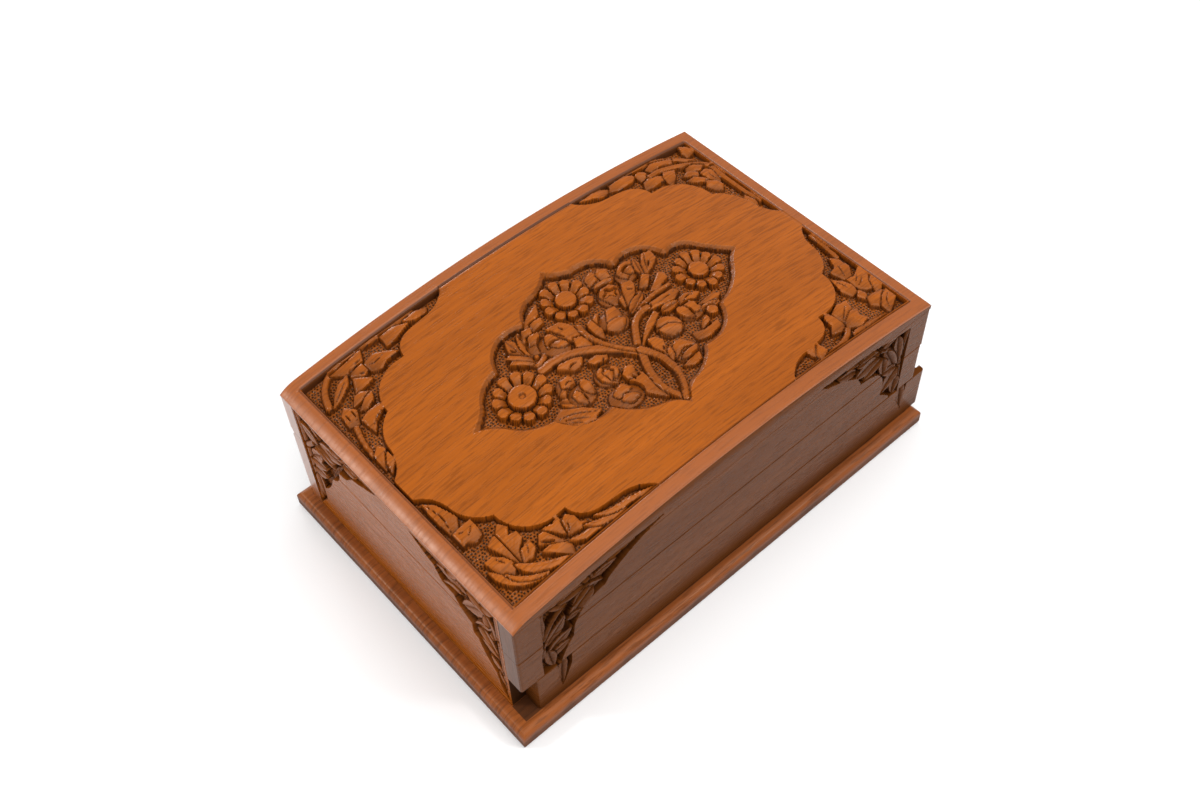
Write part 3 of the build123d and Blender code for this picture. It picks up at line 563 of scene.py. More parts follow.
def medallion_stems(relief):
    """The branching stem, from the medallion's near tip to its three flowers."""
    plate, cut, stem = relief.plate, relief.cut, relief.stem
    stem([(41, 4.8), (34, 5), (26, 3.8), (19, 1.4), (13, -2.4)], 1.5, 1.6)
    stem([(24, 0.8), (18, 0), (13, -3), (8.6, -8.4), (4, -15)], 2.2, 2.6)
    plate([(6.4, -15.2), (11, -11), (17, -6.6), (24, -3.6), (24.6, -5.6), (19, -8.8),
           (12, -11.8)], -0.15, 0.6)
    stem([(-35, 5.4), (-27, 5.4), (-18, 2.6), (-9, -3), (-1, -10.6), (4, -17)], 3.4, 4.2)
    cut([(-33, 4), (-22, 2.2), (-12, -3.6), (-2, -12.4)], 1.0, 0.9)
    stem([(-7, 12.6), (-7.4, 7), (-6, 0), (-2.6, -7), (3, -15)], 1.9, 1.6)
    stem([(0.4, -49), (-1.8, -42), (-2.4, -36), (-1, -28), (2, -21), (5, -16)], 1.9, 3.2)
    stem([(0.8, -49), (5.8, -41.6), (8.4, -34), (8.8, -27), (7, -21), (4.6, -16)], 2.2, 3.2)
    cut([(2, -46), (6, -38), (6.8, -29), (5.4, -21)], 0.9)


def corner_near_left(relief):
    """The lid's corner above the near upright edge."""
    plate, cut, blade = relief.plate, relief.cut, relief.blade
    plate([(-114.6, -31, 0.03), (-114.9, -11), (-111.4, -15), (-108.2, -25.6), (-111.4, -30.6)])
    cut([(-114.2, -13), (-113, -22), (-114.2, -30)])
    plate([(-109.6, -40.4), (-112.6, -37.6), (-114.6, -38.4), (-114.6, -31.2), (-105.4, -31),
           (-105.6, -39)])
    cut([(-106.6, -33), (-108.4, -35), (-110.2, -36)])
    cut([(-113.2, -32.4), (-111.8, -33), (-110.6, -33.6)])
    plate([(-111.6, -60.8), (-113.4, -51), (-109.8, -50.8), (-105.6, -55.4), (-104.2, -59.6),
           (-108, -63)])
    cut([(-109.4, -53.2), (-108.4, -55), (-107.6, -57)])
    plate([(-102.8, -61.4), (-105, -54.4), (-107.8, -46), (-105.6, -44.8), (-102.4, -43.8)])
    plate([(-101.8, -61.4), (-101.8, -43.8), (-98.8, -40.8), (-96.6, -44.4), (-99.2, -48),
           (-95.2, -49), (-95.6, -52.6), (-99.4, -55.4)])
    plate([(-101.6, -61.6), (-99, -56.8), (-94, -55.6), (-94.6, -60), (-97.6, -62.4)], -0.3, 0.8)
    cut([(-96, -56.6), (-97, -58.6), (-98.4, -60.4)])
    blade([(-115, -55), (-112.4, -62), (-107, -68.4), (-98, -73.2)], 3.4)
    blade([(-105, -60), (-102, -65), (-96, -69.6), (-86, -73.4)], 3.8)
    blade([(-110.6, -60.6), (-108, -65.6), (-103, -69.6), (-97.6, -72)], 1.8, level=-0.5)
    plate([(-84.4, -73.4), (-90, -67.6), (-93.4, -64), (-88.4, -63.4), (-83.6, -66.4),
           (-82.8, -70)])
    plate([(-83.4, -66), (-88.8, -62.6), (-92.6, -60.6), (-89.8, -57), (-87.6, -56.8)])
    cut([(-91.4, -59.8), (-89.4, -61.4), (-86.6, -63.2)], 1.8, 1.8)
    plate([(-81, -64.8), (-87, -55.8), (-82.4, -57), (-79.4, -56), (-79.2, -60.4)], -0.2, 0.8)
    plate([(-80.4, -65), (-78.8, -58.8), (-76, -57.4), (-73.8, -60.6), (-74, -64), (-71, -66.8),
           (-76, -66.4)])
    cut([(-77.6, -60), (-78.2, -62), (-79.2, -64)])
    blade([(-82.4, -67.6), (-77, -70.2), (-71, -70.6), (-60, -73)], 2.6)
    blade([(-73.6, -66.8), (-67, -70.4), (-56, -72.8)], 2.4)
    blade([(-68, -66), (-60.6, -69.6), (-52, -70.8), (-41, -73)], 2.3)


def corner_far_left(relief):
    """The lid's corner above the left end of the back."""
    plate, cut, stem = relief.plate, relief.cut, relief.stem
    stem([(-114, 58), (-111, 65.6), (-105.4, 71.4), (-97, 74.2), (-86, 74.4), (-73, 73.2),
          (-56, 73)], 2.4, 1.4)
    plate([(-98, 66.4), (-103.4, 71.4), (-96, 71.4), (-86.2, 72.8), (-88.8, 67.4), (-93, 67.6)])
    cut([(-93.6, 68.6), (-91, 68.2), (-88.6, 68.4)])
    plate([(-112.4, 56.4), (-108.6, 61), (-103.4, 65), (-98.4, 66), (-100.6, 62),
           (-106, 58.6)], -0.3, 0.8)
    cut([(-111, 57.4), (-106, 60.6), (-100.6, 64)])
    plate([(-97.4, 64.4), (-95.8, 66.2), (-88.8, 65.8), (-89.8, 61.6), (-92.8, 59.8)], -0.2)
    cut([(-93.6, 62.6), (-92.6, 61.6), (-91.8, 61)], 1.4)
    plate([(-88.6, 60), (-88.6, 65.8), (-83.6, 66.8), (-78.6, 64), (-74, 60), (-80, 59.8),
           (-84.6, 57.8)])
    cut([(-88, 64), (-84.6, 62.4), (-80.6, 63)])
    plate([(-75.6, 65.8), (-75, 72.2), (-66.6, 71.8), (-61.4, 69.2), (-70, 66.4)], -0.1, 0.4)
    plate([(-51, 68.8), (-57.4, 68.4), (-62.4, 71.4), (-55, 72.2), (-49.6, 71)])
    plate([(-100.6, 56), (-97.4, 62.4), (-90.8, 56.4), (-95, 55.4)], -0.3)
    cut([(-100, 54.4), (-97.4, 53.6), (-94.6, 53.4)], 1.2, 1.4)
    plate([(-105.6, 50.6), (-102.4, 54.4), (-99, 54), (-96.4, 51.6), (-101, 50.6)], -0.3, 0.8)
    plate([(-104.8, 47), (-99.6, 50), (-95.6, 51), (-97.4, 47.2), (-102, 45.4)], -0.1)
    cut([(-104, 44.8), (-100.6, 44.4), (-97, 44.6)], 1.4, 1.4)
    plate([(-109, 42), (-113.6, 43.2), (-112.6, 50), (-109.6, 52.6), (-106.2, 48)], -0.25)
    cut([(-111, 50.6), (-111.4, 47), (-111, 43.6)])
    cut([(-108.6, 50), (-108.2, 47), (-108.8, 44)])
    plate([(-106.6, 33), (-107.4, 41.8), (-102.6, 43.6), (-97, 43.2), (-97.2, 40),
           (-103, 37.4)], -0.25, 0.7)
    cut([(-104.6, 36.4), (-101.4, 38.6), (-97.8, 39.6)])
    stem([(-111.6, 40.6), (-113.6, 33), (-114.8, 24)], 1.8, 1.2)
    plate([(-115, 14.4), (-114.6, 23), (-111, 26.2), (-109.2, 23)], -0.25)
    cut([(-109.8, 22.4), (-112, 18.6), (-114.4, 15.4)])
    plate([(-114, 11), (-112.6, 16.4), (-109.6, 20.6), (-109.6, 15.4)], -0.25)


def corner_far_right(relief):
    """The lid's corner above the right end of the back."""
    plate, cut, stem = relief.plate, relief.cut, relief.stem
    stem([(112, 62), (104, 69), (95, 73.4), (82, 74.4), (66, 74)], 2.2, 1.2)
    plate([(64, 71.6), (60.6, 69.4), (56.8, 68.8), (53, 71.2), (46.4, 73.2), (60, 73.6)])
    plate([(66.8, 68.2), (63.4, 70), (66, 73.2), (76, 73.4), (80.4, 70.6), (76, 67.8)], -0.1)
    plate([(81, 66.2), (80.4, 70.6), (83.6, 71.4), (86.2, 69.4), (85.2, 66.8)], -0.3)
    plate([(89.4, 68.2), (88, 71), (92.4, 72.8), (103.4, 69.4), (101.6, 66.4), (93.4, 66.8)], -0.1)
    plate([(78.4, 60.2), (81, 64.4), (86.4, 65), (91, 62), (90.6, 59.6), (83, 59)], -0.25)
    plate([(90.4, 53.8), (90.8, 60.4), (93.4, 64), (98.8, 61.6), (96, 57.8)], -0.2)
    stem([(86.4, 66), (93, 66.2), (100, 64.4), (107, 61.6), (113, 58.4), (117.6, 54)], 2.0, 3.0)
    plate([(112.6, 66), (112, 69.4), (113.6, 73.8), (117, 72), (118.4, 67.4)], -0.15)
    plate([(104.2, 57.2), (105, 60), (109.6, 59.4), (113.6, 56.4), (110, 54.4)], -0.3)
    plate([(99.8, 55.6), (103.6, 57.2), (107.8, 53.2), (105.6, 51.2)], -0.2, 0.9)
    plate([(101, 49.2), (99.4, 52.4), (103.4, 52), (108.8, 46.4), (105, 46.2)], -0.2)
    plate([(113, 43), (109.2, 46.4), (108, 52.2), (112.4, 53.4), (116, 50), (115.6, 45.4)], -0.25)
    cut([(111.6, 51), (111.4, 48), (112.4, 45)])
    plate([(106, 39), (103.6, 43), (106.6, 45.8), (110.6, 43), (111.2, 39.4), (109, 37)], -0.2)
    stem([(116.8, 52), (116.2, 42), (116.2, 32), (117, 20)], 2.6, 2.0)
    plate([(113.4, 16), (111.2, 24.4), (113.6, 26.4), (115.4, 20)], -0.25)


def corner_near_right(relief):
    """The lid's corner above the right end of the front."""
    plate, cut, stem = relief.plate, relief.cut, relief.stem
    stem([(54, -73.4), (64, -73.2), (74, -72.4), (80, -70.6), (84, -67.4)], 1.2, 2.0)
    stem([(84, -72.4), (90, -71.4), (97, -72.2), (104, -73.2)], 2.2, 1.4)
    plate([(60, -71), (58, -67), (60.8, -65.4), (65.2, -65.2)], -0.15)
    plate([(60.6, -73.2), (60.4, -70.8), (65.4, -65.6), (66.4, -71)], -0.4, 0.8)
    plate([(81, -67), (75.6, -65.8), (79, -62.4), (79.4, -57.6), (82.2, -55.4), (83.8, -60),
           (84.6, -64.8)])
    plate([(85.2, -64.6), (84.6, -57.4), (90.4, -55), (95.8, -55.8), (94.4, -60), (90, -62.4)])
    cut([(84.8, -64.2), (88.8, -60.8), (93.4, -57.2)])
    plate([(84.4, -67.4), (86, -64.8), (92, -61.8), (96, -62), (93.8, -65.4), (95.4, -69),
           (90, -70.4)])
    cut([(74.4, -68), (78, -68.6), (82, -67.4)], 1.5, 1.5)
    plate([(101.6, -54.6), (99.4, -50), (101, -42.2), (104.6, -45.4), (106.6, -50.4),
           (105.6, -54.2)], -0.2)
    cut([(101.4, -44), (103, -48), (103, -52)])
    plate([(107.6, -45.6), (104.8, -38.4), (109.2, -37.2), (112, -31.2), (114.6, -34),
           (115.2, -40.4), (112, -44.8)])
    cut([(111, -36.4), (110.2, -40), (108.8, -44)])
    plate([(108, -53.6), (107.6, -46), (112, -46.8), (118.2, -43.6), (118, -49.2), (113.6, -57),
           (110.4, -56)])
    cut([(109.6, -49.6), (111.6, -48.4), (113.6, -46.4)])
    cut([(109, -52), (112, -50.8), (114.6, -48.8)])
    plate([(113.2, -59), (115.8, -53.2), (118.2, -51.4), (118.2, -58), (114.8, -60.6)], -0.2)
    plate([(105.4, -60.6), (102.8, -57), (106.4, -54.4), (107.6, -58)], -0.4, 0.8)
    plate([(104, -64.4), (106, -60.4), (110, -60), (116, -61), (110, -65.6), (106.4, -67)], -0.2)
    plate([(108, -72.4), (107.6, -67.6), (113, -63.4), (117.4, -61.4), (117.2, -67.4)], -0.2)
    cut([(110, -70), (112, -66.6), (115.4, -64)])
    stem([(115.8, -32), (116.8, -24), (117.2, -14)], 2.2, 1.2)


def carve_top(u, v):
    """Heights of the lid's top at the given places."""
    relief = Relief(u, v)
    field = to_outline(field_outline(), u, v)
    margin_left, margin_right, margin_front, margin_back = frame_margins
    inside_frame = np.minimum.reduce([
        u - frame_left - margin_left, frame_right - margin_right - u,
        v - frame_front - margin_front, frame_back - margin_back - v,
    ])
    relief.note_edge(*field)
    relief.sink(np.minimum(inside_frame, -field[0]), recess_depth)
    shape = to_outline(arc_outline(medallion_outline), u, v)
    relief.note_edge(*shape)
    inside, near_u, near_v = shape
    inward = medallion_bevel_width / np.maximum(inside, 0.01)
    foot_u, foot_v = near_u + (u - near_u) * inward, near_v + (v - near_v) * inward
    past_bevel = np.where(inside > 0, inside - medallion_bevel_width, FAR)
    relief.note_edge(past_bevel, foot_u, foot_v, -medallion_bevel_drop)
    relief.sink(inside, medallion_depth, medallion_bevel_width, medallion_bevel_drop)
    corners = (corner_near_left, corner_far_left, corner_far_right, corner_near_right)
    for forms in (*corners, medallion):
        forms(relief)
    relief.finish(recess_depth)
    beyond_left = frame_left - 0.4 - u
    within_width = (v > frame_front) & (v < frame_back)
    within_length = (u > frame_left) & (u < frame_right)
    for gap, width, dark_width, along in (
        (frame_right - u, frame_groove_width, groove_dark_width, within_width),
        (v - frame_front, frame_groove_width, groove_dark_width, within_length),
        (v - frame_back, back_groove_width, back_groove_dark_width, within_length),
    ):
        relief.groove(np.where(along, np.abs(gap), FAR), width, frame_groove_depth, dark_width)
    beside_left = np.where(beyond_left < 0, -beyond_left * 4, beyond_left)
    beside_left = np.where(within_width, beside_left, FAR)
    relief.groove(beside_left, left_groove_width, frame_groove_depth)
    return relief


side_depth = 3.0
tail_top = 37.0

lid_spandrel_left = [
    (-111.5, 86), (-111.3, 62), (-112.8, 50), (-112.5, 36), (-102.5, 36), (-102.5, 38, 0.04),
    (-95, 51), (-94.5, 57, 0.12), (-84, 69.8, 0.06), (-77, 71.5), (-74.5, 75, 0.05), (-43, 90.3),
    (-60, 89.6), (-83, 88.6), (-92, 86.4),
]
lid_spandrel_right = [
    (112.8, 83.5), (96, 86.2), (84, 88.8), (66, 89.6), (52, 90.3), (58, 86.6, 0.03), (76, 77, 0.06),
    (81, 68.5, 0.04), (92, 66, 0.12), (98.8, 54), (98.6, 45.3, 0.05), (106, 38.6), (106, 36),
    (112.8, 36),
]
slide_tail_left = [
    (-105.3, 37.5), (-104.9, 25), (-103.6, 15.8, -0.03), (-97.3, 30), (-97, 37.5),
]
slide_tail_right = [
    (112.6, 37.5), (113.6, 28, 0.04), (118.8, 15.6), (119.4, 25), (120, 37.5),
]


def long_face_leaves(relief):
    """Leaves of both corners of a long face."""
    leaf, stem = relief.leaf, relief.stem
    stem([(-110.6, 84), (-110.2, 74), (-110.8, 62), (-110.6, 50), (-108, 40)], 1.9, 1.6, -0.15)
    stem([(-110, 64), (-105, 73), (-97, 80), (-86, 84.5), (-74, 86.5),
          (-60, 88.6)], 2.4, 1.2, -0.15)
    leaf((-97, 80), (-106.5, 85), 4.0, level=-0.1, hollow=0.8)
    leaf((-88, 83), (-101.5, 83.5), 4.4, level=-0.1)
    leaf((-80, 84), (-84, 88), 3.6)
    leaf((-84, 83), (-70, 84.6), 5.0, level=-0.1)
    leaf((-92, 79), (-78, 77), 6.0, tilt=0.8)
    leaf((-83, 76), (-97.5, 65), 8.5, level=-0.05, hollow=0.6)
    leaf((-86, 80), (-94, 73.5), 4.0)
    leaf((-110, 57), (-99, 72), 7.5, bend=-0.05, level=-0.1)
    leaf((-98, 66), (-90, 66.5), 4.5)
    leaf((-109, 50), (-95.5, 58.5), 8.0, level=-0.1)
    leaf((-108, 46), (-97, 50), 6.5, level=-0.1)
    leaf((-108.5, 52), (-107, 39), 5.0, level=-0.1)
    stem([(112, 82), (110.6, 72), (110.4, 60), (111.3, 46), (110, 38)], 1.9, 1.6, -0.15)
    stem([(110, 61), (104, 72), (96, 80), (84, 84.5), (70, 87.5)], 2.6, 1.2, -0.15)
    leaf((92, 82), (77, 83.5), 4.2, level=-0.1)
    leaf((89, 86.2), (78, 86.4), 3.0, level=-0.1)
    leaf((91, 79), (76.5, 75.8), 8.0, level=-0.05, hollow=0.6)
    leaf((76, 82), (64, 85.6), 4.4)
    leaf((94, 83), (103, 84), 4.0)
    leaf((105.5, 82.5), (108.3, 62), 5.0, level=-0.1)
    leaf((98, 78), (107.5, 58), 6.0, tilt=0.8)
    leaf((95, 75), (83, 70), 5.0)
    leaf((97, 73), (98, 61), 5.0)
    leaf((108, 59), (97.5, 61.5), 5.0, level=-0.1)
    leaf((109, 57), (99.6, 46.5), 8.5, level=-0.05, hollow=0.6)
    leaf((110, 50), (108.5, 39), 5.5, level=-0.1)


def carve_long_face(u, v, tail_shift=None):
    """Heights of a long face: its upper corners, and the tails below them, moved by tail_shift."""
    relief = Relief(u, v)
    for corners in (lid_spandrel_left, lid_spandrel_right):
        relief.hollow(corners, side_depth, keep=v >= tail_top)
    if tail_shift is not None:
        for corners in (slide_tail_left, slide_tail_right):
            relief.hollow(corners, side_depth, keep=v < tail_top, shift=tail_shift)
        relief.leaf((-101.5 + tail_shift, 40), (-103.4 + tail_shift, 18), 4.0, level=-0.1)
        relief.leaf((116.0 + tail_shift, 40), (117.8 + tail_shift, 18), 4.4, level=-0.1)
    long_face_leaves(relief)
    relief.finish(side_depth)
    return relief


short_spandrel_front = [
    (-13, 85.2), (-20, 80.6, 0.04), (-29, 76.6, 0.03), (-33.6, 68.4), (-41, 67.4, 0.1),
    (-51.6, 57, 0.02), (-51.6, 49), (-55, 47.5, 0.07), (-64.5, 31, 0.02), (-66.8, 20, -0.02),
    (-71.3, 13), (-71, 86),
]
short_spandrel_back = [
    (9.5, 86), (72, 88), (72.6, 12, -0.02), (65, 22, 0.02), (63.4, 33, 0.06), (52, 51),
    (50.6, 54, 0.14), (42, 68), (36, 69), (30, 76, 0.04), (20, 80.4, 0.03),
]


def short_face_leaves(relief):
    """Leaves of both corners of a short face."""
    leaf, stem = relief.leaf, relief.stem
    stem([(-69.6, 84), (-69.4, 66), (-69.6, 48), (-69.8, 30), (-70.6, 18)], 2.0, 1.4, -0.15)
    stem([(-68.5, 66), (-60, 77), (-48, 82), (-34, 83.6), (-20, 83.4)], 2.4, 1.4, -0.15)
    leaf((-52, 80), (-31, 79.5), 7.0, level=-0.05, hollow=0.6)
    leaf((-38, 82.5), (-45.5, 86), 4.0)
    leaf((-48, 75), (-34.4, 70), 5.6, tilt=0.9)
    leaf((-61, 78), (-47, 66.6), 8.5, level=-0.05, hollow=0.6)
    leaf((-52, 83.5), (-64, 79), 6.0, level=-0.1)
    leaf((-60, 82), (-68, 84.5), 4.5)
    leaf((-62, 76), (-67, 62), 5.0)
    leaf((-56, 62), (-67.5, 50), 6.0, level=-0.05, hollow=0.6)
    leaf((-64, 68), (-54.5, 60.5), 5.0, tilt=0.9)
    leaf((-68, 46), (-57, 51.5), 6.0, level=-0.1)
    leaf((-68.5, 34), (-62, 44), 5.5, level=-0.1)
    leaf((-69.2, 22), (-66.5, 34), 3.4)
    stem([(70.6, 84), (69.6, 66), (69.6, 46), (70, 30), (71.4, 17)], 2.0, 1.4, -0.15)
    stem([(69, 62), (62, 70), (55, 76), (45, 81), (32, 83), (16, 84.6)], 2.4, 1.4, -0.15)
    leaf((57, 73), (68.4, 80), 9.0, level=-0.05, hollow=0.6)
    leaf((56, 75), (36, 80.6), 6.4, level=-0.05, hollow=0.6)
    leaf((46, 82), (37, 84.4), 3.6)
    leaf((54, 80), (60, 86), 4.5)
    leaf((57, 73), (44, 72.4), 5.0, tilt=0.9)
    leaf((61, 69), (46, 67.4), 4.0, level=-0.1)
    leaf((36, 80), (26, 80.5), 4.4)
    leaf((67, 56), (56, 66), 7.0, level=-0.1)
    leaf((68.4, 52), (55, 56.4), 5.0, level=-0.05, hollow=0.6)
    leaf((68.4, 45), (57, 48.4), 5.6, level=-0.05, hollow=0.6)
    leaf((68, 40), (66, 24), 4.6, level=-0.1)


def carve_short_face(u, v):
    """Heights of a short face, along y and height: a long carved corner at each end."""
    relief = Relief(u, v)
    for corners in (short_spandrel_front, short_spandrel_back):
        relief.hollow(corners, side_depth)
    short_face_leaves(relief)
    relief.finish(side_depth)
    return relief


def select_faces(mesh, chosen):
    """Selects only the given faces of a mesh."""
    mesh.vertices.foreach_set("select", np.zeros(len(mesh.vertices), bool))
    mesh.edges.foreach_set("select", np.zeros(len(mesh.edges), bool))
    mesh.polygons.foreach_set("select", chosen)
    mesh.update()


def corners_of(mesh):
    """All the corners of a mesh, as rows of three."""
    places = np.zeros(len(mesh.vertices) * 3)
    mesh.vertices.foreach_get("co", places)
    return places.reshape(-1, 3)


def face_centres(mesh):
    """The middles of a mesh's faces, as rows of three."""
    places = np.zeros(len(mesh.polygons) * 3)
    mesh.polygons.foreach_get("center", places)
    return places.reshape(-1, 3)


def move_corners(mesh, places):
    """Puts the corners of a mesh at new places."""
    mesh.vertices.foreach_set("co", places.ravel())
    mesh.update()


def in_edit_mode(action, *args, **kwargs):
    """Runs one edit-mode operator on what is selected."""
    bpy.ops.object.mode_set(mode="EDIT")
    bpy.ops.mesh.select_mode(type="FACE")
    action(*args, **kwargs)
    bpy.ops.object.mode_set(mode="OBJECT")


def add_attribute(mesh, name, values):
    """Stores one number for each corner of a mesh."""
    attribute = mesh.attributes.new(name, "FLOAT", "POINT")
    attribute.data.foreach_set("value", values.astype(np.float32))


def carved_slab(name, u_span, v_span, carve, to_space, rows=1, cell=coarse_cell, extra=None):
    """A board with one carved face: a grid, finer where it is carved, given its sides and back.

    to_space(u, v, depth, row) gives places in millimetres: row 0 is the carved face, depth
    below the uncut face, and the last row is the back.
    """
    bpy.ops.object.select_all(action="DESELECT")
    columns = max(1, round((u_span[1] - u_span[0]) / cell))
    lines = max(1, round((v_span[1] - v_span[0]) / cell))
    bpy.ops.mesh.primitive_grid_add(x_subdivisions=columns, y_subdivisions=lines, size=2)
    piece = bpy.context.object
    piece.name = name
    mesh = piece.data
    places = corners_of(mesh)
    places[:, 0] = u_span[0] + (places[:, 0] + 1) / 2 * (u_span[1] - u_span[0])
    places[:, 1] = v_span[0] + (places[:, 1] + 1) / 2 * (v_span[1] - v_span[0])
    move_corners(mesh, places)
    for level in range(refinements):
        centres = face_centres(mesh)
        reach = cell / 2**level
        relief = carve(centres[:, 0], centres[:, 1])
        to_border = np.minimum.reduce([
            centres[:, 0] - u_span[0], u_span[1] - centres[:, 0],
            centres[:, 1] - v_span[0], v_span[1] - centres[:, 1],
        ])
        finer = (relief.recess > -0.75 * reach) | (to_border < 0.6 * reach)
        if extra is not None:
            finer |= extra(centres[:, 0], centres[:, 1], level)
        select_faces(mesh, finer)
        in_edit_mode(bpy.ops.mesh.subdivide, number_cuts=1)
    places = corners_of(mesh)
    u, v = places[:, 0].copy(), places[:, 1].copy()
    relief = carve(u, v)
    cell = cell / 2**refinements
    at_side = (u <= u_span[0] + 0.01) | (u >= u_span[1] - 0.01)
    at_end = (v <= v_span[0] + 0.01) | (v >= v_span[1] - 0.01)
    snapped = (relief.snap_gap < 0.5 * cell) & (relief.recess > -1.0) & ~at_side & ~at_end
    u, v = np.where(snapped, relief.snap_u, u), np.where(snapped, relief.snap_v, v)
    relief = carve(u, v)
    edge_heights = np.maximum(relief.height, relief.snap_height)
    heights = np.where(snapped & (relief.snap_gap < 0.02), edge_heights, relief.height)
    move_corners(mesh, np.column_stack([u, v, -heights]))
    row_of = np.zeros(len(u), int)
    select_faces(mesh, np.ones(len(mesh.polygons), bool))
    for row in range(1, rows + 1):
        bpy.ops.object.mode_set(mode="EDIT")
        if row == 1:
            bpy.ops.mesh.region_to_loop()
        bpy.ops.mesh.extrude_edges_move()
        bpy.ops.object.mode_set(mode="OBJECT")
        row_of = np.concatenate([row_of, np.full(len(mesh.vertices) - len(row_of), row)])
    bpy.ops.object.mode_set(mode="EDIT")
    bpy.ops.mesh.edge_face_add()
    bpy.ops.object.mode_set(mode="OBJECT")
    # The carving's painted darkness (stain and painted shade) and its punched ground, on the carved
    # face only
    beyond_face = np.zeros(len(row_of) - len(u))
    add_attribute(mesh, "carved", np.concatenate([relief.shade, beyond_face]))
    add_attribute(mesh, "ground", np.concatenate([relief.ground, beyond_face]))
    places = corners_of(mesh)
    move_corners(mesh, to_space(places[:, 0], places[:, 1], places[:, 2], row_of) * MM)
    select_faces(mesh, np.ones(len(mesh.polygons), bool))
    in_edit_mode(bpy.ops.mesh.normals_make_consistent, inside=False)
    bpy.ops.object.shade_smooth_by_angle(angle=math.radians(36))
    return piece


# How strongly each part of the wood's figure, its cut stain and its painted shade show
band_share = 0.42
streak_share = 0.26
dash_share = 0.38
stain_and_shade_share = 0.93
punch_share = 0.92
channel_share = 0.85


